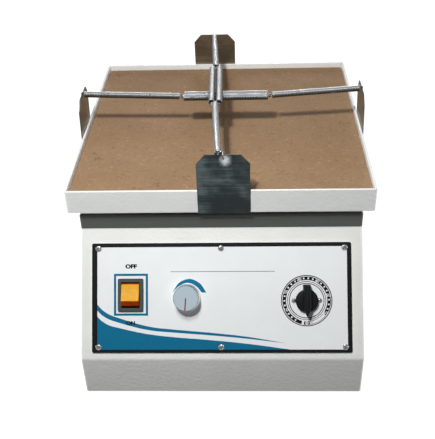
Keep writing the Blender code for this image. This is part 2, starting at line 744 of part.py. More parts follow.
def speed_control(panel_frame, pot_finish, knob_finish):
    """A potentiometer whose bush passes through the panel, and the knob on its shaft."""
    back = -SHEET - GAP
    bush_top = PANEL_FACE + POT_BUSH_HEIGHT
    bore = POT_SHAFT_RADIUS + PIN_CLEARANCE
    profile = [
        (0, back - POT_DEPTH),
        (POT_RADIUS, back - POT_DEPTH),
        (POT_RADIUS, back),
        (POT_BUSH_RADIUS, back),
        (POT_BUSH_RADIUS, bush_top),
        (bore, bush_top),
        (bore, back - POT_DEPTH / 2),
        (0, back - POT_DEPTH / 2),
    ]
    place = (SPEED_U, SPEED_V, 0)
    mesh = turned_mesh("speed_potentiometer", profile, ROUND_STEPS)
    node("speed_potentiometer", mesh, pot_finish, panel_frame, place)

    foot = PANEL_FACE + GAP
    top = foot + SPEED_KNOB_HEIGHT
    well = bush_top + GAP
    stem = back - POT_DEPTH / 2 + GAP
    profile = [
        (0, top),
        (SPEED_KNOB_RADIUS - SPEED_KNOB_EDGE, top),
        (SPEED_KNOB_RADIUS, top - SPEED_KNOB_EDGE),
        (SPEED_KNOB_RADIUS + SPEED_KNOB_EDGE / 2, foot + SPEED_KNOB_SKIRT),
        (SPEED_KNOB_BASE_RADIUS, foot + SPEED_KNOB_SKIRT / 2),
        (SPEED_KNOB_BASE_RADIUS, foot),
        (SPEED_KNOB_WELL_RADIUS, foot),
        (SPEED_KNOB_WELL_RADIUS, well),
        (POT_SHAFT_RADIUS, well),
        (POT_SHAFT_RADIUS, stem),
        (0, stem),
    ]
    mesh = turned_mesh("speed_knob", profile, FINE_STEPS)
    knob = node("speed_knob", mesh, knob_finish, panel_frame, place)
    bm = bmesh.new()
    half = SPEED_POINTER_WIDTH / 2
    add_box(bm, (0, SPEED_KNOB_BASE_RADIUS), (-half, half), (top - SPEED_POINTER_DEPTH, top + OVERRUN))
    turn = Matrix.Rotation(math.radians(SPEED_POINTER_DEG), 3, "Z")
    bmesh.ops.rotate(bm, matrix=turn, verts=bm.verts)
    boolean(knob, to_mesh(bm, "speed_pointer"))


def timer(panel_frame, body_finish, knob_finish, screw_finish):
    """A clockwork timer behind the face, held by two screws, and its pointer knob."""
    back = -SHEET - GAP
    boss_top = PANEL_FACE
    place = (TIMER_U, TIMER_V, 0)
    bm = bmesh.new()
    side, corner = TIMER_BODY_SIDE, TIMER_BODY_CORNER_RADIUS
    outline = rounded_rectangle(side, side, corner, steps=SLOT_END_STEPS)
    add_prism(bm, outline, back - TIMER_BODY_DEPTH, back)
    body = node("timer_body", to_mesh(bm, "timer_body"), body_finish, panel_frame, place)
    root = back - TIMER_BODY_DEPTH / 4
    boss = cylinders_mesh("timer_boss", [(0, 0)], TIMER_BOSS_RADIUS, root, boss_top, ROUND_STEPS)
    boolean(body, boss, "UNION")
    bm = bmesh.new()
    bore = TIMER_STEM_RADIUS + PIN_CLEARANCE
    add_prism(bm, circle(bore, SMALL_STEPS), back - TIMER_BODY_DEPTH / 2, boss_top + OVERRUN)
    for side in (-1, 1):
        hole = circle(SCREW_SHANK_RADIUS + PIN_CLEARANCE, SCREW_STEPS, (side * TIMER_SCREW_SPACING / 2, 0))
        add_prism(bm, hole, back - SCREW_LENGTH, back + OVERRUN)
    boolean(body, to_mesh(bm, "timer_bores"))
    for name, spot in zip(("timer_screw_left", "timer_screw_right"), timer_screw_places()):
        screw(name, spot, TIMER_SCREW_HEAD_RADIUS, panel_frame, screw_finish)

    foot = PANEL_FACE + GAP
    disc_top = foot + TIMER_DISC_HEIGHT
    edge = SPEED_KNOB_EDGE
    profile = [
        (0, disc_top),
        (TIMER_KNOB_RADIUS - edge, disc_top),
        (TIMER_KNOB_RADIUS, disc_top - edge),
        (TIMER_KNOB_RADIUS, foot),
        (TIMER_STEM_RADIUS, foot),
        (TIMER_STEM_RADIUS, back - TIMER_BODY_DEPTH / 2 + GAP),
        (0, back - TIMER_BODY_DEPTH / 2 + GAP),
    ]
    mesh = turned_mesh("timer_knob", profile, FINE_STEPS)
    knob = node("timer_knob", mesh, knob_finish, panel_frame, place)
    half = TIMER_BAR_WIDTH / 2
    over_screws = foot + SCREW_HEAD_HEIGHT + GAP
    bar = []
    levels = (
        (1, 0, over_screws),
        (1, 0, disc_top),
        (TIMER_BAR_TOP_SHARE, TIMER_BAR_END_SLOPE, foot + TIMER_BAR_HEIGHT),
    )
    for share, slope, z in levels:
        w = half * share
        reach = TIMER_BAR_REACH - slope
        shoulder = TIMER_BAR_POINT - reach
        bar.append([(w, shoulder, z), (w, reach, z), (-w, reach, z), (-w, shoulder, z), (0, -reach, z)])
    bm = bmesh.new()
    add_loft(bm, bar)
    boolean(knob, to_mesh(bm, "timer_bar"), "UNION")


def spindle(frame, crank_frame, finishes):
    """The fixed housing with its two bearings, and the crank that turns in them."""
    bore = BEARING_RADIUS + PIN_CLEARANCE
    outer = BEARING_RADIUS + HOUSING_WALL
    neck = BEARING_RADIUS - BEARING_LAND
    flange_under = CABINET_TOP + GAP
    top_shoulder = HOUSING_TOP - BEARING_WIDTH - GAP
    low_shoulder = HOUSING_BOTTOM + BEARING_WIDTH + GAP
    profile = [
        (bore, HOUSING_TOP),
        (HOUSING_FLANGE_RADIUS, HOUSING_TOP),
        (HOUSING_FLANGE_RADIUS, flange_under),
        (outer, flange_under),
        (outer, HOUSING_BOTTOM),
        (bore, HOUSING_BOTTOM),
        (bore, low_shoulder),
        (neck, low_shoulder),
        (neck, top_shoulder),
        (bore, top_shoulder),
    ]
    mesh = turned_mesh("spindle_housing", profile, ROUND_STEPS, True)
    node("spindle_housing", mesh, finishes["cast"], frame)
    for name, low in (("upper_bearing", HOUSING_TOP - BEARING_WIDTH), ("lower_bearing", HOUSING_BOTTOM)):
        inner = SHAFT_RADIUS + PIN_CLEARANCE
        groove = (BEARING_RADIUS - inner) / 3
        high = low + BEARING_WIDTH
        profile = [
            (inner, high),
            (inner + groove, high),
            ((inner + BEARING_RADIUS) / 2, high - BEARING_LAND / 2),
            (BEARING_RADIUS - groove, high),
            (BEARING_RADIUS, high),
            (BEARING_RADIUS, low),
            (inner, low),
        ]
        node(name, turned_mesh(name, profile, ROUND_STEPS, True), finishes["steel"], frame)

    disc_low = HOUSING_TOP + GAP
    disc_high = disc_low + CRANK_DISC_THICKNESS
    shaft_low = DRIVE_LEVEL - PULLEY_HALF - BEARING_LAND
    profile = [
        (0, disc_high),
        (CRANK_DISC_RADIUS, disc_high),
        (CRANK_DISC_RADIUS, disc_low),
        (SHAFT_RADIUS, disc_low),
        (SHAFT_RADIUS, shaft_low),
        (0, shaft_low),
    ]
    mesh = turned_mesh("crank_shaft", profile, ROUND_STEPS)
    crank = node("crank_shaft", mesh, finishes["steel"], crank_frame)
    pin_top = DECK_UNDER - GAP - HUB_ROOF - GAP
    pin_low = disc_high - CRANK_DISC_THICKNESS / 2
    pin = cylinders_mesh("crank_pin", [(0, ORBIT_RADIUS)], CRANK_PIN_RADIUS, pin_low, pin_top, ROUND_STEPS)
    boolean(crank, pin, "UNION")

    sleeve = SHAFT_RADIUS + PIN_CLEARANCE
    rim = DRIVE_PULLEY_RADIUS - DRIVE_RIM_THICKNESS
    low, high = DRIVE_LEVEL - PULLEY_HALF, DRIVE_LEVEL + PULLEY_HALF
    floor_low, floor_high = DRIVE_LEVEL - BELT_WIDTH / 2 - GAP, DRIVE_LEVEL + BELT_WIDTH / 2 + GAP
    web_low, web_high = DRIVE_LEVEL - DRIVE_WEB_THICKNESS / 2, DRIVE_LEVEL + DRIVE_WEB_THICKNESS / 2
    flange = DRIVE_PULLEY_RADIUS + PULLEY_FLANGE
    profile = [
        (sleeve, high),
        (DRIVE_HUB_RADIUS, high),
        (DRIVE_HUB_RADIUS, web_high),
        (rim, web_high),
        (rim, high),
        (flange, high),
        (DRIVE_PULLEY_RADIUS, floor_high),
        (DRIVE_PULLEY_RADIUS, floor_low),
        (flange, low),
        (rim, low),
        (rim, web_low),
        (DRIVE_HUB_RADIUS, web_low),
        (DRIVE_HUB_RADIUS, low),
        (sleeve, low),
    ]
    mesh = turned_mesh("drive_pulley", profile, FINE_STEPS, True)
    pulley = node("drive_pulley", mesh, finishes["aluminium"], crank_frame)
    middle = (rim + DRIVE_HUB_RADIUS) / 2
    holes = circle(middle, WEB_HOLES)
    under, over = web_low - OVERRUN, web_high + OVERRUN
    boolean(pulley, cylinders_mesh("web_holes", holes, WEB_HOLE_RADIUS, under, over, SMALL_STEPS))

    low = high + WEIGHT_ABOVE_PULLEY
    high = low + WEIGHT_THICKNESS
    arc = [math.pi + math.pi * i / ROUND_STEPS for i in range(ROUND_STEPS + 1)]
    outline = [(WEIGHT_RADIUS * math.cos(a), WEIGHT_RADIUS * math.sin(a)) for a in arc]
    hub = [math.pi * i / SCREW_STEPS for i in range(SCREW_STEPS + 1)]
    outline += [(WEIGHT_HUB_RADIUS * math.cos(a), WEIGHT_HUB_RADIUS * math.sin(a)) for a in hub]
    bm = bmesh.new()
    add_prism(bm, outline, low, high)
    weight = node("counterweight", to_mesh(bm, "counterweight"), finishes["cast"], crank_frame)
    under, over = low - OVERRUN, high + OVERRUN
    boolean(weight, cylinders_mesh("weight_bore", [(0, 0)], sleeve, under, over, ROUND_STEPS))


def belt_drive(frame, motor_frame, finishes):
    """The motor hung under its bracket, its small pulley, and the flat belt to the large one."""
    pulley_low, pulley_high = DRIVE_LEVEL - PULLEY_HALF, DRIVE_LEVEL + PULLEY_HALF
    plate_top = pulley_low - BRACKET_BELOW_PULLEY
    plate_low = plate_top - BRACKET_SHEET
    motor_top = plate_low - GAP
    motor_low = motor_top - MOTOR_HEIGHT
    boss_top = plate_top + BRACKET_SHEET
    bore = MOTOR_SHAFT_RADIUS + PIN_CLEARANCE
    stem = boss_top - MOTOR_SHAFT_DEPTH
    waist = MOTOR_RADIUS - MOTOR_CAP_STEP
    band = MOTOR_HEIGHT / 6
    profile = [
        (0, motor_low),
        (waist, motor_low),
        (waist, motor_low + band),
        (MOTOR_RADIUS, motor_low + band),
        (MOTOR_RADIUS, motor_top - band),
        (waist, motor_top - band),
        (waist, motor_top),
        (MOTOR_BOSS_RADIUS, motor_top),
        (MOTOR_BOSS_RADIUS, boss_top),
        (bore, boss_top),
        (bore, stem),
        (0, stem),
    ]
    place = (MOTOR_X, MOTOR_Y, 0)
    node("motor", turned_mesh("motor", profile, FINE_STEPS), finishes["cast"], frame, place)

    half = BRACKET_SIDE / 2
    t = BRACKET_SHEET
    foot_low = BASE_TOP + GAP
    foot = half + BRACKET_FOOT
    outline = [
        (-foot, foot_low), (-foot, foot_low + t), (-half, foot_low + t), (-half, plate_top),
        (half, plate_top), (half, foot_low + t), (foot, foot_low + t), (foot, foot_low),
        (half - t, foot_low), (half - t, plate_low), (-half + t, plate_low), (-half + t, foot_low),
    ]
    bm = bmesh.new()
    add_prism(bm, outline, -half, half, axis="X")
    bracket = node("motor_bracket", to_mesh(bm, "motor_bracket"), finishes["zinc"], frame, place)
    hole = MOTOR_BOSS_RADIUS + PIN_CLEARANCE
    low, high = plate_low - OVERRUN, plate_top + OVERRUN
    boolean(bracket, cylinders_mesh("bracket_hole", [(0, 0)], hole, low, high, ROUND_STEPS))

    floor_low, floor_high = DRIVE_LEVEL - BELT_WIDTH / 2 - GAP, DRIVE_LEVEL + BELT_WIDTH / 2 + GAP
    flange = MOTOR_PULLEY_RADIUS + PULLEY_FLANGE
    profile = [
        (0, pulley_high),
        (flange, pulley_high),
        (MOTOR_PULLEY_RADIUS, floor_high),
        (MOTOR_PULLEY_RADIUS, floor_low),
        (flange, pulley_low),
        (MOTOR_SHAFT_RADIUS, pulley_low),
        (MOTOR_SHAFT_RADIUS, stem + GAP),
        (0, stem + GAP),
    ]
    mesh = turned_mesh("motor_pulley", profile, ROUND_STEPS)
    node("motor_pulley", mesh, finishes["aluminium"], motor_frame)

    distance = math.hypot(MOTOR_X, MOTOR_Y)
    heading = math.atan2(MOTOR_Y, MOTOR_X)
    contact = math.acos((DRIVE_PULLEY_RADIUS - MOTOR_PULLEY_RADIUS) / distance)
    rings = []
    for thickness in (0, BELT_THICKNESS):
        outline = []
        large, small = DRIVE_PULLEY_RADIUS + GAP + thickness, MOTOR_PULLEY_RADIUS + GAP + thickness
        for step in range(FINE_STEPS + 1):
            angle = heading + contact + (2 * math.pi - 2 * contact) * step / FINE_STEPS
            outline.append((large * math.cos(angle), large * math.sin(angle)))
        for step in range(SCREW_STEPS + 1):
            angle = heading - contact + 2 * contact * step / SCREW_STEPS
            outline.append((MOTOR_X + small * math.cos(angle), MOTOR_Y + small * math.sin(angle)))
        rings.append(outline)
    low, high = DRIVE_LEVEL - BELT_WIDTH / 2, DRIVE_LEVEL + BELT_WIDTH / 2
    bm = bmesh.new()
    levels = [(rings[0], low), (rings[1], low), (rings[1], high), (rings[0], high)]
    loops = [[bm.verts.new((x, y, z)) for x, y in ring] for ring, z in levels]
    count = len(loops[0])
    for k, first in enumerate(loops):
        second = loops[(k + 1) % len(loops)]
        for i in range(count):
            j = (i + 1) % count
            bm.faces.new((first[i], first[j], second[j], second[i]))
    node("drive_belt", to_mesh(bm, "drive_belt"), finishes["rubber"], frame)


def idler_places():
    """The idler posts, one behind the spindle and the others to its left and right in front."""
    return circle_from(IDLER_CIRCLE_RADIUS, IDLERS, math.pi / 2)


def circle_from(radius, steps, start):
    angles = [start + 2 * math.pi * i / steps for i in range(steps)]
    return [(radius * math.cos(a), radius * math.sin(a)) for a in angles]


def idlers(frame, platform_frame, finishes):
    """Short cranks as long as the main one, from posts on the cabinet to sockets under the deck."""
    post_low = CABINET_TOP + GAP
    post_top = post_low + IDLER_POST_HEIGHT
    arm_low = post_top + GAP
    arm_high = arm_low + IDLER_ARM_THICKNESS
    socket_low = arm_high + GAP
    socket_top = DECK_UNDER - GAP
    roof = socket_top - HUB_ROOF
    bore = IDLER_PIN_RADIUS + PIN_CLEARANCE
    post = [
        (bore, post_top),
        (IDLER_BARREL_RADIUS, post_top),
        (IDLER_BARREL_RADIUS, post_low + IDLER_FLANGE_THICKNESS),
        (IDLER_FLANGE_RADIUS, post_low + IDLER_FLANGE_THICKNESS),
        (IDLER_FLANGE_RADIUS, post_low),
        (bore, post_low),
    ]
    socket = [
        (0, roof),
        (bore, roof),
        (bore, socket_low),
        (IDLER_BARREL_RADIUS, socket_low),
        (IDLER_BARREL_RADIUS, socket_top - IDLER_FLANGE_THICKNESS),
        (IDLER_FLANGE_RADIUS, socket_top - IDLER_FLANGE_THICKNESS),
        (IDLER_FLANGE_RADIUS, socket_top),
        (0, socket_top),
    ]
    for number, (x, y) in enumerate(idler_places(), start=1):
        name = f"idler_post_{number}"
        node(name, turned_mesh(name, post, ROUND_STEPS, True), finishes["zinc"], frame, (x, y, 0))
        name = f"idler_crank_{number}"
        swivel = empty(f"idler_axis_{number}", frame, (x, y, 0))
        crank = node(name, idler_arm(name, arm_low, arm_high), finishes["steel"], swivel)
        arm_middle = (arm_low + arm_high) / 2
        low, high = post_low + GAP, roof - GAP
        pin = IDLER_PIN_RADIUS
        lower = cylinders_mesh("lower_pin", [(0, 0)], pin, low, arm_middle, SMALL_STEPS)
        boolean(crank, lower, "UNION")
        spot = [(0, ORBIT_RADIUS)]
        upper = cylinders_mesh("upper_pin", spot, pin, arm_middle, high, SMALL_STEPS)
        boolean(crank, upper, "UNION")
        name = f"idler_socket_{number}"
        node(name, turned_mesh(name, socket, ROUND_STEPS), finishes["zinc"], platform_frame, (x, y, 0))


def idler_arm(name, low, high):
    """A flat link with round ends about its two pins."""
    outline = []
    for centre, start in ((0, math.pi), (ORBIT_RADIUS, 0)):
        for step in range(SMALL_STEPS // 2 + 1):
            angle = start + 2 * math.pi * step / SMALL_STEPS
            reach = centre + IDLER_ARM_RADIUS * math.sin(angle)
            outline.append((IDLER_ARM_RADIUS * math.cos(angle), reach))
    bm = bmesh.new()
    add_prism(bm, outline, low, high)
    return to_mesh(bm, name)


def platform(platform_frame, tray_finish, mat_finish, hub_finish):
    """A pan folded from one sheet: flat deck, hemmed rim, skirt; its mat; its bearing hub."""
    half = HALF_PLATFORM
    inner = half - 2 * SHEET
    sections = [
        (inner, DECK_TOP),
        (inner, RIM_TOP - RIM_EDGE),
        (inner + RIM_EDGE, RIM_TOP),
        (half - RIM_EDGE, RIM_TOP),
        (half, RIM_TOP - RIM_EDGE),
        (half, SKIRT_BOTTOM),
        (half - SHEET, SKIRT_BOTTOM),
        (half - SHEET, DECK_UNDER),
    ]
    rings = []
    for reach, z in sections:
        corner = PLATFORM_CORNER_RADIUS - (half - reach)
        outline = rounded_rectangle(2 * reach, 2 * reach, corner)
        rings.append([(x, y, z) for x, y in outline])
    bm = bmesh.new()
    add_loft(bm, rings)
    tray = node("platform_tray", to_mesh(bm, "platform_tray"), tray_finish, platform_frame)
    reliefs = [(x * inner, y * inner) for x in (-1, 1) for y in (-1, 1)]
    mesh = cylinders_mesh(
        "corner_reliefs", reliefs, CORNER_RELIEF_RADIUS, DECK_TOP - SHEET / 2, RIM_TOP + OVERRUN, 8
    )
    boolean(tray, mesh)

    side = 2 * (inner - MAT_EDGE_GAP)
    low = DECK_TOP + GAP
    bm = bmesh.new()
    add_prism(bm, rounded_rectangle(side, side, PLATFORM_CORNER_RADIUS), low, low + MAT_THICKNESS)
    node("platform_mat", to_mesh(bm, "platform_mat"), mat_finish, platform_frame)

    disc_high = HOUSING_TOP + GAP + CRANK_DISC_THICKNESS
    top = DECK_UNDER - GAP
    roof = top - HUB_ROOF
    bore = CRANK_PIN_RADIUS + PIN_CLEARANCE
    profile = [
        (0, roof),
        (bore, roof),
        (bore, disc_high + GAP),
        (HUB_BARREL_RADIUS, disc_high + GAP),
        (HUB_BARREL_RADIUS, top - HUB_FLANGE_THICKNESS),
        (HUB_FLANGE_RADIUS, top - HUB_FLANGE_THICKNESS),
        (HUB_FLANGE_RADIUS, top),
        (0, top),
    ]
    node("platform_hub", turned_mesh("platform_hub", profile, FINE_STEPS), hub_finish, platform_frame)


def clip_frame(spec):
    """From a clip's own directions, along the skirt, outwards and up from the skirt's lower edge, to
    the platform's frame, and the lean about the rim's edge that comes before it."""
    out = Vector((*spec["facing"], 0))
    up = Vector((0, 0, 1))
    along = out.cross(up)
    if abs(spec["facing"][1]) == 1:
        place = Vector((spec["along"], 0, 0))
    else:
        place = Vector((0, spec["along"], 0))
    turn = Matrix((along, out, up)).transposed().to_4x4()
    edge = place + out * HALF_PLATFORM + up * SKIRT_BOTTOM
    lean = Matrix.Rotation(math.radians(spec["lean_deg"]), 4, "X")
    rim = Matrix.Translation((0, 0, SKIRT_HEIGHT))
    return Matrix.Translation(edge) @ turn, rim @ lean @ rim.inverted()


def clip_outline():
    """The clip's section as (outwards, up) points: plate, bend under the skirt, inner flange."""
    inside = GAP
    outside = inside + CLIP_SHEET
    channel = GAP + SHEET + CLIP_INNER_ROOM
    small = channel / 2
    large = small + CLIP_SHEET
    middle_y = inside - small
    middle_z = large - CLIP_DROP
    outline = [(inside, CLIP_TOP), (outside, CLIP_TOP)]
    for step in range(CLIP_BEND_STEPS + 1):
        angle = -math.pi * step / CLIP_BEND_STEPS
        outline.append((middle_y + large * math.cos(angle), middle_z + large * math.sin(angle)))
    outline += [(middle_y - large, CLIP_FLANGE_HEIGHT), (middle_y - small, CLIP_FLANGE_HEIGHT)]
    for step in range(CLIP_BEND_STEPS, -1, -1):
        angle = -math.pi * step / CLIP_BEND_STEPS
        outline.append((middle_y + small * math.cos(angle), middle_z + small * math.sin(angle)))
    return outline


def clips(platform_frame, finish):
    for side, spec in CLIPS.items():
        place, lean = clip_frame(spec)
        half = CLIP_WIDTH / 2
        bm = bmesh.new()
        add_prism(bm, clip_outline(), -half, half, axis="X")
        bmesh.ops.transform(bm, matrix=lean, verts=bm.verts)
        name = f"clip_{side}"
        clip = node(name, to_mesh(bm, name), finish, platform_frame)
        clip.location = place.to_translation()
        clip.rotation_euler = place.to_euler()

        bm = bmesh.new()
        low_y, high_y = -OVERRUN, GAP + CLIP_SHEET + OVERRUN
        for hand in (-1, 1):
            inner = hand * (half - CLIP_CHAMFER_WIDTH)
            outer = hand * (half + OVERRUN)
            slope = CLIP_CHAMFER_HEIGHT / CLIP_CHAMFER_WIDTH
            corner = [
                (inner - hand * OVERRUN, CLIP_TOP + OVERRUN * slope),
                (outer, CLIP_TOP + OVERRUN * slope),
                (outer, CLIP_TOP - CLIP_CHAMFER_HEIGHT - OVERRUN * slope),
            ]
            add_loft(bm, [[(x, y, z) for x, z in corner] for y in (low_y, high_y)])
        hole = circle(CLIP_HOLE_RADIUS, SMALL_STEPS, (0, CLIP_TOP - CLIP_HOLE_DROP))
        add_loft(bm, [[(x, y, z) for x, z in hole] for y in (low_y, high_y)])
        bmesh.ops.transform(bm, matrix=lean, verts=bm.verts)
        boolean(clip, to_mesh(bm, f"{name}_cuts"))


def hook(loop_radius, offset, turn_deg):
    """A spring's end past its last curl, as points along +X from the curl's end, and the angle at
    which the curl ends. The loop is half a ring in a plane along the spring, offset from its axis
    and turned about it."""
    attach = math.acos(offset / SPRING_RADIUS)
    lift = SPRING_RADIUS * math.sin(attach)
    points = [(HOOK_LEAD / 2, offset, (lift + loop_radius) / 2)]
    for step in range(HOOK_STEPS + 1):
        angle = math.radians(HOOK_START_DEG + HOOK_SWEEP_DEG * step / HOOK_STEPS)
        points.append((HOOK_LEAD + loop_radius * math.sin(angle), offset, loop_radius * math.cos(angle)))
    turn = Matrix.Rotation(math.radians(turn_deg), 3, "X")
    return [turn @ Vector(point) for point in points], attach + math.radians(turn_deg)


def spring_points(length, curls, first, last):
    """A helix of about that many curls along +X between its two end hooks."""
    first_hook, first_angle = first
    last_hook, last_angle = last
    start = math.pi - first_angle
    sweep = last_angle - start
    sweep += 2 * math.pi * round((2 * math.pi * curls - sweep) / (2 * math.pi))
    count = round(CURL_POINTS * sweep / (2 * math.pi))
    share = np.linspace(0, 1, count + 1)
    angle = start + sweep * share
    helix = np.stack([length * share, SPRING_RADIUS * np.cos(angle), SPRING_RADIUS * np.sin(angle)], 1)
    before = [(-point.x, -point.y, point.z) for point in reversed(first_hook)]
    after = [(length + point.x, point.y, point.z) for point in last_hook]
    return np.concatenate([np.array(before), helix, np.array(after)])


def least_gap(points):
    """The least distance between the wire's surfaces, at places more than the spring's width apart
    along the wire."""
    fine = np.repeat(points, 2, axis=0)[:-1]
    fine[1::2] = (points[:-1] + points[1:]) / 2
    steps = np.linalg.norm(np.diff(fine, axis=0), axis=1)
    along = np.concatenate([[0], np.cumsum(steps)])
    apart = np.linalg.norm(fine[:, None] - fine[None], axis=2)
    near = np.abs(along[:, None] - along[None]) < SPRING_OD
    apart[near] = np.inf
    return apart.min() - 2 * WIRE_RADIUS


def spring(name, start, end, curls, first, last, sideways, finish, platform_frame):
    """An extension spring whose loops are centred on start and end, shifted sideways."""
    run = end - start
    ahead = run.normalized()
    left = Vector((0, 0, 1)).cross(ahead).normalized()
    up = ahead.cross(left)
    length = run.length - 2 * HOOK_LEAD
    points = spring_points(length, curls, hook(*first), hook(*last))
    turn = np.array([ahead, left, up])
    origin = np.array(start + ahead * HOOK_LEAD + left * sideways)
    placed = points @ turn + origin
    curve = bpy.data.curves.new(name, "CURVE")
    curve.dimensions = "3D"
    curve.bevel_depth = WIRE_RADIUS
    curve.bevel_resolution = 1
    curve.use_fill_caps = True
    line = curve.splines.new("POLY")
    line.points.add(len(placed) - 1)
    flat = np.concatenate([placed, np.ones((len(placed), 1))], 1)
    line.points.foreach_set("co", flat.ravel())
    node(name, curve, finish, platform_frame)
    gap = least_gap(points)
    print(f"{name}: {length * 1000:.1f} mm of curls, least gap to itself {gap * 1000:.2f} mm")


def plate_point(side):
    """Where the centre of a spring's loop lies at a clip, in the platform's frame."""
    place, lean = clip_frame(CLIPS[side])
    reach = GAP + CLIP_SHEET - PLATE_LOOP_INSET
    return place @ lean @ Vector((0, reach, CHAIN_HEIGHT))


def springs(platform_frame, finish):
    """Two chains, each a single spring, a pair side by side and a single spring. The chain from
    front to back passes over the other."""
    height = SKIRT_BOTTOM + CHAIN_HEIGHT
    turn = math.radians(ALONG_PAIR_TURN_DEG)
    chains = {
        "along": (
            Vector((ALONG_PAIR_X, ALONG_PAIR_Y, height + PAIR_LIFT)),
            Vector((-math.sin(turn), math.cos(turn), 0)),
            ("front", "back"),
        ),
        "across": (
            Vector((ACROSS_PAIR_X, ACROSS_PAIR_Y, height - PAIR_LIFT)),
            Vector((1, 0, 0)),
            ("left", "right"),
        ),
    }
    plate_end = (SPRING_RADIUS, 0, 0)
    link_end = (SINGLE_LOOP_RADIUS, 0, 90)
    for chain, (middle, ahead, (near, far)) in chains.items():
        half = PAIR_LENGTH / 2 + HOOK_LEAD
        ends = (middle - ahead * half, middle + ahead * half)
        for number, hand in ((1, 1), (2, -1)):
            aside = hand * PAIR_LIFT
            inwards = -hand * (PAIR_LIFT - PAIR_LOOP_OFFSET)
            first = (PAIR_LOOP_RADIUS, -inwards, 0)
            last = (PAIR_LOOP_RADIUS, inwards, 0)
            name = f"spring_{chain}_{number}"
            spring(name, *ends, PAIR_CURLS, first, last, aside, finish, platform_frame)
        for side, end, way in ((near, ends[0], -1), (far, ends[1], 1)):
            link = end + ahead * way * LINK_DISTANCE
            hooks = (plate_end, link_end)
            name = f"spring_{side}"
            spring(name, plate_point(side), link, SINGLE_CURLS, *hooks, 0, finish, platform_frame)


def back_fittings(frame, finishes):
    """The mains inlet and the fuse holder on the back of the cabinet."""
    z = CABINET_BOTTOM + INLET_ABOVE_BASE
    face = CABINET_BACK + GAP
    outer = face + INLET_FLANGE
    bm = bmesh.new()
    rings = []
    for width, height, radius, y in (
        (INLET_BODY_WIDTH, INLET_BODY_HEIGHT, INLET_CORNER_RADIUS / 2, CABINET_BACK - INLET_BODY_DEPTH),
        (INLET_BODY_WIDTH, INLET_BODY_HEIGHT, INLET_CORNER_RADIUS / 2, face),
        (INLET_WIDTH, INLET_HEIGHT, INLET_CORNER_RADIUS, face),
        (INLET_WIDTH, INLET_HEIGHT, INLET_CORNER_RADIUS, outer),
    ):
        outline = rounded_rectangle(width, height, radius, steps=SLOT_END_STEPS)
        rings.append([(x, y, level) for x, level in outline])
    add_loft(bm, rings)
    place = (INLET_X, 0, z)
    inlet = node("mains_inlet", to_mesh(bm, "mains_inlet"), finishes["black"], frame, place)
    floor = outer - INLET_SOCKET_DEPTH
    half_w, half_h = INLET_SOCKET_WIDTH / 2, INLET_SOCKET_HEIGHT / 2
    cut = half_h / 2
    outline = [
        (-half_w, -half_h), (half_w, -half_h), (half_w, half_h - cut), (half_w - cut, half_h),
        (-half_w + cut, half_h), (-half_w, half_h - cut),
    ]
    bm = bmesh.new()
    add_loft(bm, [[(x, y, level) for x, level in outline] for y in (floor, outer + OVERRUN)])
    boolean(inlet, to_mesh(bm, "inlet_socket"))
    bm = bmesh.new()
    for column, rise in ((-1, -1), (0, 1), (1, -1)):
        x = column * INLET_PIN_SPACING
        level = rise * INLET_PIN_STAGGER
        add_box(
            bm,
            (x - INLET_PIN_WIDTH / 2, x + INLET_PIN_WIDTH / 2),
            (floor - INLET_PIN_WIDTH / 2, floor + INLET_PIN_LENGTH),
            (level - INLET_PIN_HEIGHT / 2, level + INLET_PIN_HEIGHT / 2),
        )
    boolean(inlet, to_mesh(bm, "inlet_pins"), "UNION")

    flange_top = GAP + FUSE_FLANGE_THICKNESS
    cap_top = flange_top + FUSE_CAP_HEIGHT
    profile = [
        (0, cap_top),
        (FUSE_CAP_RADIUS - SPEED_KNOB_EDGE, cap_top),
        (FUSE_CAP_RADIUS, cap_top - SPEED_KNOB_EDGE),
        (FUSE_CAP_RADIUS, flange_top),
        (FUSE_HEX_RADIUS, flange_top),
        (FUSE_HEX_RADIUS, GAP),
        (FUSE_BODY_RADIUS, GAP),
        (FUSE_BODY_RADIUS, -FUSE_BODY_DEPTH),
        (0, -FUSE_BODY_DEPTH),
    ]
    mesh = turned_mesh("fuse_holder", profile, ROUND_STEPS)
    turn = (-math.pi / 2, 0, 0)
    fuse = node("fuse_holder", mesh, finishes["black"], frame, (FUSE_X, CABINET_BACK, z), turn)
    bm = bmesh.new()
    half, reach = FUSE_SLOT_WIDTH / 2, FUSE_SLOT_LENGTH / 2
    add_box(bm, (-reach, reach), (-half, half), (cap_top - FUSE_SLOT_DEPTH, cap_top + OVERRUN))
    boolean(fuse, to_mesh(bm, "fuse_slot"))


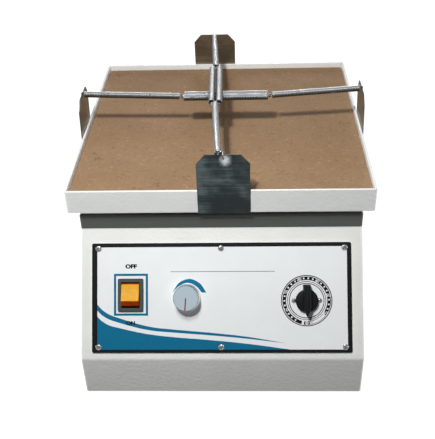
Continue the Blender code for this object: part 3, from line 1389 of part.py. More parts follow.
def control_board(frame, finish):
    """The speed control's circuit board on four pegs, with its heat sink and capacitors."""
    low = BASE_TOP + GAP + BOARD_LIFT
    top = low + BOARD_THICKNESS
    half_x, half_y = BOARD_LENGTH / 2, BOARD_DEPTH / 2
    bm = bmesh.new()
    add_box(bm, (-half_x, half_x), (-half_y, half_y), (low, top))
    board = node("control_board", to_mesh(bm, "control_board"), finish, frame, (BOARD_X, BOARD_Y, 0))
    corner = BOARD_PEG_RADIUS * 2
    pegs = [(x * (half_x - corner), y * (half_y - corner)) for x in (-1, 1) for y in (-1, 1)]
    foot, middle = BASE_TOP + GAP, low + BOARD_THICKNESS / 2
    mesh = cylinders_mesh("board_pegs", pegs, BOARD_PEG_RADIUS, foot, middle, SMALL_STEPS)
    boolean(board, mesh, "UNION")
    bm = bmesh.new()
    sunk = top - BOARD_THICKNESS / 2
    sink_x = -half_x + corner * 2
    sink_y = half_y - SINK_DEPTH * 2
    wall = SINK_DEPTH / 5
    comb = [(0, 0)]
    pitch = (SINK_LENGTH - wall) / (SINK_FINS - 1)
    for fin in range(SINK_FINS):
        start = fin * pitch
        comb += [(start, wall), (start, SINK_DEPTH), (start + wall, SINK_DEPTH), (start + wall, wall)]
    comb[1:2] = []
    comb[-1:] = []
    comb += [(SINK_LENGTH, 0)]
    add_prism(bm, [(sink_x + x, sink_y + y) for x, y in comb], sunk, top + SINK_HEIGHT)
    for number in (1, 2):
        spot = (half_x - corner - number * CAPACITOR_RADIUS * 3, 0)
        add_prism(bm, circle(CAPACITOR_RADIUS, ROUND_STEPS, spot), sunk, top + CAPACITOR_HEIGHT)
    boolean(board, to_mesh(bm, "board_parts"), "UNION")


def print_axes(frame, platform_frame):
    """Prints each joint's place and direction in the finished frame, in metres."""
    bpy.context.view_layer.update()
    up = Vector((0, 0, 1))
    axes = {
        "rocker": (bpy.data.objects["switch_rocker"].matrix_world, Vector((1, 0, 0))),
        "speed_knob": (bpy.data.objects["speed_knob"].matrix_world, up),
        "timer_knob": (bpy.data.objects["timer_knob"].matrix_world, up),
        "spindle": (bpy.data.objects["spindle_axis"].matrix_world, up),
        "crank_pin": (platform_frame.matrix_world, up),
        "motor": (bpy.data.objects["motor_axis"].matrix_world, up),
    }
    for number in range(1, IDLERS + 1):
        axes[f"idler_{number}"] = (bpy.data.objects[f"idler_axis_{number}"].matrix_world, up)
    for side in CLIPS:
        axes[f"clip_{side}"] = (bpy.data.objects[f"clip_{side}"].matrix_world, Vector((-1, 0, 0)))
    for name, (world, axis) in axes.items():
        place = np.round(np.array(world.to_translation()), 6)
        direction = np.round(np.array(world.to_3x3() @ axis), 6)
        print(f"axis {name}: at {list(map(float, place))}, along {list(map(float, direction))}")


def centre_on_origin(frame):
    """Shifts the machine so that the origin is under the middle of its outer box, and prints it."""
    bpy.context.view_layer.update()
    graph = bpy.context.evaluated_depsgraph_get()
    corners = []
    for piece in bpy.data.objects:
        if piece.type not in ("MESH", "CURVE") or piece.hide_render:
            continue
        shown = piece.evaluated_get(graph)
        mesh = shown.to_mesh()
        points = np.empty(len(mesh.vertices) * 3, np.float32)
        mesh.vertices.foreach_get("co", points)
        shown.to_mesh_clear()
        world = np.array(shown.matrix_world)
        points = points.reshape(-1, 3) @ world[:3, :3].T + world[:3, 3]
        corners += [points.min(axis=0), points.max(axis=0)]
    corners = np.array(corners)
    low, high = corners.min(axis=0), corners.max(axis=0)
    frame.location = (-(low[0] + high[0]) / 2, -(low[1] + high[1]) / 2, 0)
    print("outer size in mm:", np.round((high - low) * 1000, 2))
    print("spindle axis at", np.round(np.array(frame.location), 6))


def main():
    clear_scene()
    painted = material("painted_steel", (0.80, 0.81, 0.79), 0.45)
    printed = material("printed_panel", (0.88, 0.90, 0.91), 0.35)
    zinc = material("zinc_plate", (0.62, 0.63, 0.64), 0.40, 1.0)
    black = material("black_plastic", (0.03, 0.03, 0.032), 0.40)
    amber = material("amber_lens", (0.85, 0.42, 0.06), 0.20)
    silver = material("silver_knob", (0.55, 0.60, 0.64), 0.30, 0.6)
    rubber = material("rubber", (0.04, 0.04, 0.04), 0.80)
    bright = material("bright_steel", (0.72, 0.73, 0.74), 0.25, 1.0)
    plate = material("clip_steel", (0.30, 0.32, 0.32), 0.35, 1.0)
    cast = material("cast_metal", (0.35, 0.36, 0.37), 0.55, 1.0)
    aluminium = material("aluminium", (0.75, 0.76, 0.77), 0.35, 1.0)
    tan = material("tan_mat", (0.36, 0.24, 0.14), 0.85)
    green = material("circuit_board", (0.05, 0.22, 0.10), 0.50)
    finishes = {
        "cast": cast,
        "steel": bright,
        "aluminium": aluminium,
        "zinc": zinc,
        "rubber": rubber,
        "black": black,
    }

    frame = empty("machine")
    panel_frame = empty("panel_plane", frame)
    middle = panel_matrix()
    panel_frame.location = middle.to_translation()
    panel_frame.rotation_euler = middle.to_euler()
    crank_frame = empty("spindle_axis", frame)
    motor_frame = empty("motor_axis", frame, (MOTOR_X, MOTOR_Y, 0))
    platform_frame = empty("crank_pin_axis", crank_frame, (0, ORBIT_RADIUS, 0))

    cabinet_shell(frame, painted)
    base_plate(frame, zinc)
    feet(frame, rubber)
    control_panel(panel_frame, printed)
    for number, place in enumerate(panel_screw_places(), start=1):
        screw(f"panel_screw_{number}", place, SCREW_HEAD_RADIUS, panel_frame, bright)
    rocker_switch(panel_frame, black, amber)
    speed_control(panel_frame, zinc, silver)
    timer(panel_frame, zinc, black, bright)
    spindle(frame, crank_frame, finishes)
    belt_drive(frame, motor_frame, finishes)
    idlers(frame, platform_frame, finishes)
    platform(platform_frame, painted, tan, cast)
    clips(platform_frame, plate)
    springs(platform_frame, bright)
    back_fittings(frame, finishes)
    control_board(frame, green)
    centre_on_origin(frame)
    print_axes(frame, platform_frame)


main()
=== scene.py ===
# %% [markdown]
# # A small orbital shaker, dressed over its solid model
#
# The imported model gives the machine's true sizes and joints. This lesson loads it, adds the detail
# that a solid model leaves out, such as the close-wound springs, the printed panel and the cross
# recesses of the screws, and gives every surface a finish made of shader nodes.

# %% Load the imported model
import math

import bmesh
import bpy
import numpy as np
from mathutils import Matrix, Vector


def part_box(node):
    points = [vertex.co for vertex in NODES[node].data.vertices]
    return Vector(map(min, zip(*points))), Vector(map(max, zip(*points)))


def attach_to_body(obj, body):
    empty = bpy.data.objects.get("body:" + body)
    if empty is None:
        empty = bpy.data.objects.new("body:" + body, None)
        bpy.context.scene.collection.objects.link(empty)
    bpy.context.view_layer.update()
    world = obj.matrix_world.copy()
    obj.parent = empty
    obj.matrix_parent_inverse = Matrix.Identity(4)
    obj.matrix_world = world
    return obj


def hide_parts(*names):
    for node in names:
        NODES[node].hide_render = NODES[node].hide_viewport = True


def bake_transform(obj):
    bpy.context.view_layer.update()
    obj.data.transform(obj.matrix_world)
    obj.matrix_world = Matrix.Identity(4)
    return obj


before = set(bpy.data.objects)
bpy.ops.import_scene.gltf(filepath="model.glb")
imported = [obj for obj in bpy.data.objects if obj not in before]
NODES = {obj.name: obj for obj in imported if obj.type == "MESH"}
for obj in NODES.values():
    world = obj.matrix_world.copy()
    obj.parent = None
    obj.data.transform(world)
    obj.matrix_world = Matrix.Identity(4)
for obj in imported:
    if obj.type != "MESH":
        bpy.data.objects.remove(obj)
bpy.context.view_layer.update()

# %% [markdown]
# ## The photographer's camera
#
# The machine was taken from in front, a little to the right of its middle and well above the tray.
# A camera needs a place, a direction and a lens. The direction is given here as three angles, and
# the lens follows from how many pixels one unit at one unit's distance covers.

# %% Camera
CAMERA_PLACE = (0.02608, -0.731178, 0.60243)
CAMERA_TURN = math.radians(2.68)
CAMERA_DOWN = math.radians(34.87)
CAMERA_ROLL = math.radians(-1.97)
PIXELS_PER_SLOPE = 754.24
PICTURE_HEIGHT = 439
SENSOR = 36.0

camera_data = bpy.data.cameras.new("camera")
camera_data.sensor_width = SENSOR
camera_data.lens = PIXELS_PER_SLOPE * SENSOR / PICTURE_HEIGHT
camera_data.clip_start = 0.05
camera = bpy.data.objects.new("camera", camera_data)
bpy.context.collection.objects.link(camera)
ahead = np.array([
    math.sin(-CAMERA_TURN) * math.cos(CAMERA_DOWN),
    math.cos(CAMERA_TURN) * math.cos(CAMERA_DOWN),
    -math.sin(CAMERA_DOWN),
])
level = np.array([math.cos(CAMERA_TURN), math.sin(CAMERA_TURN), 0.0])
upright = np.cross(level, ahead)
right = math.cos(CAMERA_ROLL) * level + math.sin(CAMERA_ROLL) * upright
top = -math.sin(CAMERA_ROLL) * level + math.cos(CAMERA_ROLL) * upright
pose = np.eye(4)
pose[:3, :3] = np.stack([right, top, -ahead], axis=1)
pose[:3, 3] = CAMERA_PLACE
camera.matrix_world = Matrix(pose.tolist())
bpy.context.scene.camera = camera
print("lens", round(camera_data.lens, 2), "mm")

# %% [markdown]
# ## Turning numbers into a mesh
#
# Every new piece is a sheet of points worked out with numpy: a shape carried along a line, or a
# function of two numbers. The helpers below join neighbouring points into squares, close the
# ends, weld points that coincide, turn every face outwards and keep only the sharp edges crisp.

# %% Helpers: squares of a grid, and a mesh from points
def grid_squares(rows, columns, round_rows=False, round_columns=True):
    """Squares between each point of a grid and its neighbours, going round where asked."""
    row = np.arange(rows if round_rows else rows - 1)[:, None]
    column = np.arange(columns if round_columns else columns - 1)[None, :]
    below, beside = (row + 1) % rows, (column + 1) % columns
    corners = [row * columns + column, row * columns + beside]
    corners += [below * columns + beside, below * columns + column]
    return np.stack(np.broadcast_arrays(*corners), axis=-1).reshape(-1, 4).tolist()


def make_piece(name, points, faces, body, slot, *finishes, sharp=35.0, over=()):
    """A mesh piece from points in metres and lists of corners, riding on a body."""
    mesh = bpy.data.meshes.new(name)
    mesh.from_pydata(np.asarray(points, float).reshape(-1, 3).tolist(), [], faces)
    bm = bmesh.new()
    bm.from_mesh(mesh)
    bmesh.ops.remove_doubles(bm, verts=bm.verts, dist=2e-7)
    bmesh.ops.recalc_face_normals(bm, faces=bm.faces)
    bm.to_mesh(mesh)
    bm.free()
    mesh.polygons.foreach_set("use_smooth", np.ones(len(mesh.polygons), bool))
    mesh.set_sharp_from_angle(angle=math.radians(sharp))
    for finish in finishes:
        mesh.materials.append(finish)
    piece = bpy.data.objects.new(name, mesh)
    bpy.context.collection.objects.link(piece)
    if body:
        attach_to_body(piece, body)
    if over:
        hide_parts(*over)
    print(name, len(mesh.polygons), "faces")
    return piece


def ringed(rings):
    """Faces of a solid whose section is carried from the first ring to the last, ends closed."""
    rows, columns = rings.shape[:2]
    first = list(range(columns))
    last = list(range((rows - 1) * columns, rows * columns))
    return grid_squares(rows, columns) + [first, last]


# %% [markdown]
# ## Finishes
#
# A real surface is never one even colour. Each finish below starts from the shader's plain
# sockets, then noise on the piece's own coordinates varies its colour and lifts its surface. The
# coordinates are in metres, so a noise scale of 350 has spots about 3 mm across.

# %% Helpers: a finish, its nodes, its colours and its relief
def finish(name, colour, roughness, metallic=0.0, **sockets):
    """A material with one colour, roughness and share of metal, and any other sockets."""
    material = bpy.data.materials.new(name)
    material.use_nodes = True
    shader = material.node_tree.nodes["Principled BSDF"]
    shader.inputs["Base Color"].default_value = (*colour, 1.0)
    shader.inputs["Roughness"].default_value = roughness
    shader.inputs["Metallic"].default_value = metallic
    for words, value in sockets.items():
        shader.inputs[words.replace("_", " ")].default_value = value
    material.diffuse_color = (*colour, 1.0)
    return material


def add(material, kind, inputs, **settings):
    """A shader node with its settings, and its inputs joined to sockets or set to values."""
    node = material.node_tree.nodes.new("ShaderNode" + kind)
    for key, value in settings.items():
        setattr(node, key, value)
    for key, value in inputs.items():
        if isinstance(value, bpy.types.NodeSocket):
            material.node_tree.links.new(value, node.inputs[key])
        else:
            node.inputs[key].default_value = value
    return node


def to_shader(material, socket, value):
    """Joins a node's output to a socket of the shader."""
    shader = material.node_tree.nodes["Principled BSDF"]
    material.node_tree.links.new(value, shader.inputs[socket])


def place_of(material, stretch=(1.0, 1.0, 1.0)):
    """The piece's own coordinates in metres, stretched along each axis."""
    coordinates = add(material, "TexCoord", {}).outputs["Object"]
    return add(material, "Mapping", {"Vector": coordinates, "Scale": stretch}).outputs["Vector"]


def noise(material, scale, detail=3.0, stretch=(1.0, 1.0, 1.0)):
    """Soft random spots, whose size is one over the scale."""
    where = place_of(material, stretch)
    node = add(material, "TexNoise", {"Vector": where, "Scale": scale, "Detail": detail})
    return node.outputs[0]


def ramp(material, value, stops):
    """Colours that a value runs through, as pairs of a place from 0 to 1 and a colour."""
    node = add(material, "ValToRGB", {"Fac": value})
    elements = node.color_ramp.elements
    while len(elements) < len(stops):
        elements.new(0.5)
    for element, (position, colour) in zip(elements, stops):
        element.position = position
        element.color = (*colour, 1.0)
    return node.outputs["Color"]


def shade(colour, share):
    """The same colour, lighter or darker."""
    return tuple(min(1.0, part * share) for part in colour)


def mottle(material, colour, spread, scale, detail=3.0, stretch=(1.0, 1.0, 1.0)):
    """Varies the colour by a share either way with noise, and gives the noise back."""
    value = noise(material, scale, detail, stretch)
    stops = [(0.3, shade(colour, 1 - spread)), (0.7, shade(colour, 1 + spread))]
    to_shader(material, "Base Color", ramp(material, value, stops))
    return value


def relief(material, height, depth, strength=1.0):
    """Lifts the surface by the height value, as far as the depth in metres."""
    inputs = {"Height": height, "Distance": depth, "Strength": strength}
    to_shader(material, "Normal", add(material, "Bump", inputs).outputs["Normal"])


def vary_roughness(material, value, low, high):
    """Roughness that follows a value from low to high."""
    inputs = {"Value": value, "From Min": 0.3, "From Max": 0.7, "To Min": low, "To Max": high}
    to_shader(material, "Roughness", add(material, "MapRange", inputs).outputs["Result"])


# %% [markdown]
# ### Hammered enamel
#
# The cabinet and the tray are sheet steel, stove-enamelled in an off-white that dries in soft
# dimples 2 to 4 mm wide. A smooth Voronoi pattern has such rounded cells. The cabinet's copy of the
# enamel is painted darker than the tray's, as shade. The recess under the tray is painted dark as
# the shade of the tray's overhang: a mask of height and depth darkens that band of the cabinet.

# %% Enamel for the tray and for the cabinet
# The cabinet's enamel is the tray's enamel painted darker, as shade for the stronger light its faces
# get.
ENAMEL = (0.700, 0.707, 0.680)
TRAY_ENAMEL = (0.805, 0.818, 0.805)
NECK_SHADE_COLOUR = (0.075, 0.079, 0.069)
NECK_FOOT = 0.1597
NECK_FACE = -0.1085


def enamel(name, colour):
    """Off-white paint with soft dimples and a slight unevenness of colour."""
    material = finish(name, colour, 0.42, Specular_IOR_Level=0.3)
    inputs = {"Vector": place_of(material), "Scale": 330.0, "Smoothness": 1.0}
    cells = add(material, "TexVoronoi", inputs, feature="SMOOTH_F1").outputs["Distance"]
    fine = noise(material, 1500.0, 2.0)
    both = add(material, "Math", {0: fine, 1: 0.25, 2: cells}, operation="MULTIPLY_ADD")
    relief(material, both.outputs[0], 0.00045, 0.55)
    patches = mottle(material, colour, 0.022, 45.0)
    vary_roughness(material, patches, 0.36, 0.48)
    return material


enamelled = enamel("hammered enamel", TRAY_ENAMEL)
cabinet_enamel_and_shade = enamel("hammered enamel with a painted shade in its recess", ENAMEL)
# Painted shade: the band under the tray's overhang is darkened to stand for its shadow.
axes = add(cabinet_enamel_and_shade, "SeparateXYZ", {"Vector": place_of(cabinet_enamel_and_shade)})
above = add(cabinet_enamel_and_shade, "Math", {0: axes.outputs["Z"], 1: NECK_FOOT}, operation="GREATER_THAN")
before = add(cabinet_enamel_and_shade, "Math", {0: axes.outputs["Y"], 1: NECK_FACE}, operation="LESS_THAN")
both = add(cabinet_enamel_and_shade, "Math", {0: above.outputs[0], 1: before.outputs[0]}, operation="MULTIPLY")
shader_input = cabinet_enamel_and_shade.node_tree.nodes["Principled BSDF"].inputs["Base Color"]
lit = shader_input.links[0].from_socket
dark = add(cabinet_enamel_and_shade, "Mix", {0: both.outputs[0], 6: lit, 7: (*NECK_SHADE_COLOUR, 1.0)}, data_type="RGBA")
to_shader(cabinet_enamel_and_shade, "Base Color", dark.outputs[2])
print("enamel", ENAMEL)

# %% [markdown]
# ### The tan mat
#
# The tray is lined with a sheet of pressed board, matt and tan, with fine light and dark flecks
# and a slow drift of tone. Three noises do it: a fine one for the flecks, a middling one that
# gathers them in patches, and a wide one for the drift.

# %% Pressed board
BOARD = (0.292, 0.183, 0.100)
mat_board = finish("tan pressed board", BOARD, 0.86, Specular_IOR_Level=0.25)
flecks = noise(mat_board, 300.0, 6.0)
patches = noise(mat_board, 55.0, 2.0)
patchy = add(mat_board, "Math", {0: patches, 1: 0.35, 2: flecks}, operation="MULTIPLY_ADD")
fleck_colours = ramp(mat_board, patchy.outputs[0], [
    (0.42, shade(BOARD, 0.55)), (0.53, shade(BOARD, 0.94)), (0.80, shade(BOARD, 1.03)),
    (0.87, shade(BOARD, 1.18)), (0.95, shade(BOARD, 1.7)),
])
wide = noise(mat_board, 16.0, 4.0)
drift = ramp(mat_board, wide, [(0.35, (0.94, 0.925, 0.91)), (0.65, (1.04, 1.04, 1.05))])
tinted = add(mat_board, "Mix", {0: 1.0, 6: fleck_colours, 7: drift}, data_type="RGBA",
             blend_type="MULTIPLY")
to_shader(mat_board, "Base Color", tinted.outputs[2])
relief(mat_board, flecks, 0.0002, 0.35)
print("board", BOARD)

# %% [markdown]
# ### Metals
#
# A metal's colour is the colour of its reflections, so its look comes from its roughness and from
# the direction of the marks on it. The clips are dark rolled steel with level brush marks, rubbed
# bright by the front spring's hook. Their faces turned to the tray are painted brown as a reflection
# of the tan mat. The springs are drawn wire, painted with light: bright where they face up and dark
# where they face down, as shade. The base plate is zinc, whose crystals show as facets.

# %% Clip steel, spring steel, zinc, cast metal and aluminium
CLIP_STEEL = (0.040, 0.050, 0.052)
CLIP_MAT_REFLECTION = (0.245, 0.222, 0.180)
RUBBED = (0.52, 0.55, 0.56)
RUBBED_SPOT = np.array([0.0064, -0.1185, 0.2428])
RUBBED_STRETCH = np.array([1.0, 1.0, 0.85])
ABOVE_TRAY = (0.0, 0.035, 0.22)
clip_steel = finish("dark rolled steel", CLIP_STEEL, 0.36, 1.0)
brush = noise(clip_steel, 95.0, 5.0, stretch=(0.22, 0.22, 9.0))
cloud = noise(clip_steel, 38.0, 3.0)
worn = add(clip_steel, "Math", {0: brush, 1: 0.55, 2: cloud}, operation="MULTIPLY_ADD")
worn_colours = ramp(clip_steel, worn.outputs[0], [
    (0.62, shade(CLIP_STEEL, 0.55)), (0.76, shade(CLIP_STEEL, 0.95)), (0.90, shade(CLIP_STEEL, 1.9)),
])
# Painted reflection: the faces turned to the tray get a brown that stands for the tan mat reflected in
# them.
face_way = add(clip_steel, "TexCoord", {}).outputs["Normal"]
middle = add(clip_steel, "VectorMath", {0: place_of(clip_steel), 1: ABOVE_TRAY}, operation="SUBTRACT")
outwards = add(clip_steel, "VectorMath", {0: middle.outputs[0], 1: face_way}, operation="DOT_PRODUCT")
inputs = {"Value": outwards.outputs["Value"], "From Min": -0.02, "From Max": -0.06}
inner = add(clip_steel, "MapRange", inputs).outputs["Result"]
mat_reflection_colours = ramp(clip_steel, worn.outputs[0], [
    (0.62, shade(CLIP_MAT_REFLECTION, 0.8)), (0.76, CLIP_MAT_REFLECTION), (0.90, shade(CLIP_MAT_REFLECTION, 1.25)),
])
inputs = {0: place_of(clip_steel, RUBBED_STRETCH.tolist()), 1: (RUBBED_SPOT * RUBBED_STRETCH).tolist()}
rubbed = add(clip_steel, "VectorMath", inputs, operation="DISTANCE").outputs["Value"]
inputs = {0: noise(clip_steel, 420.0, 4.0), 1: 0.0045, 2: rubbed}
ragged = add(clip_steel, "Math", inputs, operation="MULTIPLY_ADD").outputs[0]
inputs = {"Value": ragged, "From Min": 0.0100, "From Max": 0.0018}
bright = add(clip_steel, "MapRange", inputs, interpolation_type="SMOOTHERSTEP").outputs["Result"]
inputs = {0: bright, 6: worn_colours, 7: (*RUBBED, 1.0)}
outer_colours = add(clip_steel, "Mix", inputs, data_type="RGBA").outputs[2]
sided = add(clip_steel, "Mix", {0: inner, 6: outer_colours, 7: mat_reflection_colours}, data_type="RGBA")
to_shader(clip_steel, "Base Color", sided.outputs[2])
vary_roughness(clip_steel, brush, 0.30, 0.44)
relief(clip_steel, brush, 0.0001, 0.35)

WIRE = (0.38, 0.39, 0.40)
spring_steel = finish("bright drawn wire", WIRE, 0.32, 1.0)
# Painted light and shade: the wire is bright where it faces up and dark where it faces down, with a
# little random stain.
facing = add(spring_steel, "TexCoord", {}).outputs["Normal"]
upwards = add(spring_steel, "SeparateXYZ", {"Vector": facing}).outputs["Z"]
stain = noise(spring_steel, 260.0)
stain_and_top_light = add(spring_steel, "Math", {0: stain, 1: 0.12, 2: upwards}, operation="MULTIPLY_ADD")
to_shader(spring_steel, "Base Color", ramp(spring_steel, stain_and_top_light.outputs[0], [
    (0.0, shade(WIRE, 0.32)), (0.50, shade(WIRE, 0.40)), (0.80, shade(WIRE, 0.68)),
    (1.0, shade(WIRE, 1.35)),
]))
vary_roughness(spring_steel, stain, 0.26, 0.36)

SCREW = (0.235, 0.235, 0.235)
screw_steel = finish("nickelled screws", SCREW, 0.24, 1.0)
vary_roughness(screw_steel, mottle(screw_steel, SCREW, 0.1, 900.0), 0.18, 0.34)

ZINC = (0.56, 0.58, 0.60)
zinc = finish("zinc plate", ZINC, 0.45, 1.0)
crystals = add(zinc, "TexVoronoi", {"Vector": place_of(zinc), "Scale": 130.0})
facets = add(zinc, "SeparateColor", {"Color": crystals.outputs["Color"]}).outputs[0]
to_shader(zinc, "Base Color", ramp(zinc, facets, [(0.1, shade(ZINC, 0.8)), (0.9, shade(ZINC, 1.15))]))
vary_roughness(zinc, facets, 0.38, 0.52)

CAST = (0.36, 0.37, 0.38)
cast_metal = finish("cast metal", CAST, 0.55, 1.0)
sand = mottle(cast_metal, CAST, 0.14, 700.0, 4.0)
relief(cast_metal, sand, 0.0002, 0.5)

ALUMINIUM = (0.74, 0.75, 0.76)
aluminium = finish("turned aluminium", ALUMINIUM, 0.34, 1.0)
lines = noise(aluminium, 60.0, 4.0, stretch=(1.0, 1.0, 40.0))
relief(aluminium, lines, 0.00006, 0.5)
vary_roughness(aluminium, mottle(aluminium, ALUMINIUM, 0.07, 120.0), 0.28, 0.42)
print("metals made")

# %% [markdown]
# ### Plastics, rubber and the circuit board
#
# The bezel, the timer's knob and the inlet are moulded in black with a fine spark-eroded grain.
# The rocker is a translucent amber plastic, glossy on its face. Its ends are painted a deep orange
# as shade. The feet and the belt are matt rubber.

# %% Black plastic, amber plastic, rubber, circuit board and belt
BLACK = (0.0040, 0.0060, 0.0066)
black_plastic = finish("moulded black plastic", BLACK, 0.5, Specular_IOR_Level=0.07)
grain = mottle(black_plastic, BLACK, 0.25, 1800.0, 2.0)
relief(black_plastic, grain, 0.00008, 0.5)

BEZEL = (0.033, 0.043, 0.040)
bezel_plastic = finish("grey-black switch plastic", BEZEL, 0.45, Specular_IOR_Level=0.25)
relief(bezel_plastic, mottle(bezel_plastic, BEZEL, 0.2, 1600.0, 2.0), 0.00006, 0.5)

AMBER = (0.70, 0.350, 0.030)
amber = finish("amber plastic", AMBER, 0.42, Specular_IOR_Level=0.06)
relief(amber, mottle(amber, AMBER, 0.07, 210.0), 0.00004, 0.4)

# Painted shade: a darker copy of the amber for the rocker's ends.
AMBER_IN_SHADE = (0.38, 0.044, 0.001)
amber_in_shade = finish("amber plastic painted in shade at its ends", AMBER_IN_SHADE, 0.4, Specular_IOR_Level=0.05)
mottle(amber_in_shade, AMBER_IN_SHADE, 0.2, 260.0)

RUBBER = (0.025, 0.025, 0.026)
rubber = finish("matt rubber", RUBBER, 0.85)
relief(rubber, mottle(rubber, RUBBER, 0.3, 600.0, 4.0), 0.00015, 0.6)

LAMINATE = (0.020, 0.105, 0.045)
circuit_board = finish("green circuit board", LAMINATE, 0.35)
tracks = add(circuit_board, "TexBrick", {"Vector": place_of(circuit_board), "Scale": 95.0,
             "Color1": (*LAMINATE, 1.0), "Color2": (*shade(LAMINATE, 0.8), 1.0),
             "Mortar": (*shade(LAMINATE, 1.9), 1.0), "Mortar Size": 0.05})
to_shader(circuit_board, "Base Color", tracks.outputs["Color"])
print("plastics made")

# %% [markdown]
# ### The panel's own white, and the inks
#
# The control panel is a printed plate. Its white is cooler and smoother than the enamel. Each ink
# has a slight unevenness, as screen printing leaves.

# %% Panel white and inks
LABEL = (0.735, 0.760, 0.765)
label_white = finish("panel white", LABEL, 0.55, Specular_IOR_Level=0.12)
relief(label_white, mottle(label_white, LABEL, 0.012, 60.0), 0.00003, 0.3)


def ink(name, colour, roughness=0.45):
    """A printed ink, slightly uneven."""
    material = finish(name, colour, roughness, Specular_IOR_Level=0.07)
    relief(material, mottle(material, colour, 0.06, 500.0), 0.00002, 0.3)
    return material


blue_ink = ink("blue ink", (0.0045, 0.128, 0.240))
black_ink = ink("black ink", (0.0050, 0.0058, 0.0065))
grey_ink = ink("grey ink", (0.15, 0.155, 0.16))
white_ink = ink("white ink", (0.72, 0.73, 0.73))
plum_paint = ink("plum paint", (0.250, 0.022, 0.040), 0.5)
print("inks made")

# %% [markdown]
# ## Finishes on the solid nodes
#
# Each solid node names a finish slot. This step puts the finished material in it. The solid's
# faces are loose triangles, so a Weld joins them and an Edge Split keeps the creases, which lets
# round shapes shade smoothly without a vertex being changed.

# %% Give each node its finish
BY_SLOT = {
    "painted_steel": enamelled, "printed_panel": label_white, "zinc_plate": zinc,
    "black_plastic": black_plastic, "amber_lens": amber, "silver_knob": aluminium,
    "rubber": rubber, "tan_mat": mat_board, "bright_steel": spring_steel,
    "clip_steel": clip_steel, "cast_metal": cast_metal, "aluminium": aluminium,
    "circuit_board": circuit_board,
}
BY_NODE = {"cabinet_shell": cabinet_enamel_and_shade, "switch_body": bezel_plastic}
for name, node in NODES.items():
    for holder in node.material_slots:
        slot_name = holder.material.name.split(".")[0]
        holder.material = BY_NODE.get(name, BY_SLOT[slot_name])
    node.data.polygons.foreach_set("use_smooth", np.ones(len(node.data.polygons), bool))
    weld = node.modifiers.new("join", "WELD")
    weld.merge_threshold = 1e-6
    crease = node.modifiers.new("creases", "EDGE_SPLIT")
    crease.split_angle = math.radians(32)
print("finishes given to", len(NODES), "nodes")

# %% [markdown]
# ## The springs
#
# Four clips are pulled inwards by close-wound tension springs: from each clip a single spring
# runs to the middle, where it hooks into a pair lying side by side. A spring is a wire carried
# along a helix with a half ring at each end. The wire's round section is turned from point to
# point by the smallest turn that keeps it square to the wire, so it never twists.

# %% Helpers: a wire along a path
WIRE_RADIUS = 0.00049
WIRE_SIDES = 6


def carried_frames(path):
    """Two directions square to the path at each of its points. The turn from one point's
    direction to the next is the smallest one, and the turns are multiplied up by doubling."""
    along = np.gradient(path, axis=0)
    along /= np.linalg.norm(along, axis=1, keepdims=True)
    axis = np.cross(along[:-1], along[1:])
    cosine = (along[:-1] * along[1:]).sum(1)
    cross = np.zeros((len(axis), 3, 3))
    cross[:, 0, 1], cross[:, 0, 2], cross[:, 1, 2] = -axis[:, 2], axis[:, 1], -axis[:, 0]
    cross -= cross.transpose(0, 2, 1)
    turns = np.eye(3) + cross + cross @ cross / (1 + cosine)[:, None, None]
    turns = np.concatenate([np.eye(3)[None], turns])
    step = 1
    while step < len(turns):
        turns[step:] = turns[step:] @ turns[:-step]
        step *= 2
    first = np.cross(along[0], (0.3, 0.5, 0.8))
    side = turns @ (first / np.linalg.norm(first))
    return side, np.cross(along, side)


def wire(path, radius):
    """Rings of points round the path: side times cosine plus the other direction times sine."""
    side, other = carried_frames(path)
    angle = np.linspace(0, 2 * math.pi, WIRE_SIDES, endpoint=False)[None, :, None]
    return path[:, None] + radius * (np.cos(angle) * side[:, None] + np.sin(angle) * other[:, None])


# %% The path of a spring
COIL_RADIUS = 0.0030
COIL_PITCH = 0.00104
CURL_POINTS = 12
HOOK_LEAD = 0.0006
TRAY_MIDDLE = np.array([0.0, 0.035252, 0.0])


def hook_path(loop, offset, turn):
    """Half a ring past the last curl, and the angle at which the last curl ends."""
    attach = math.acos(offset / COIL_RADIUS)
    lift = COIL_RADIUS * math.sin(attach)
    angle = np.radians(np.linspace(12.0, 172.0, 16))
    ring = np.stack([HOOK_LEAD + loop * np.sin(angle), np.full(16, offset), loop * np.cos(angle)], 1)
    points = np.concatenate([[[HOOK_LEAD / 2, offset, (lift + loop) / 2]], ring])
    turn = math.radians(turn)
    cosine, sine = math.cos(turn), math.sin(turn)
    spin = np.array([[1, 0, 0], [0, cosine, -sine], [0, sine, cosine]])
    return points @ spin.T, attach + turn


def spring_path(start, end, first, last, aside=0.0):
    """A helix of close curls from start to end, between its two hooks."""
    ahead = (end - start) / np.linalg.norm(end - start)
    left = np.cross((0, 0, 1), ahead)
    left /= np.linalg.norm(left)
    length = np.linalg.norm(end - start) - 2 * HOOK_LEAD
    first_hook, first_angle = hook_path(*first)
    last_hook, last_angle = hook_path(*last)
    begin = math.pi - first_angle
    curls = length / COIL_PITCH
    sweep = last_angle - begin
    sweep += 2 * math.pi * round(curls - sweep / (2 * math.pi))
    share = np.linspace(0, 1, round(CURL_POINTS * curls) + 1)
    angle = begin + sweep * share
    helix = np.stack([length * share, COIL_RADIUS * np.cos(angle), COIL_RADIUS * np.sin(angle)], 1)
    points = np.concatenate([first_hook[::-1] * (-1, -1, 1), helix, last_hook + (length, 0, 0)])
    axes = np.array([ahead, left, np.cross(ahead, left)])
    return points @ axes + start + ahead * HOOK_LEAD + left * aside


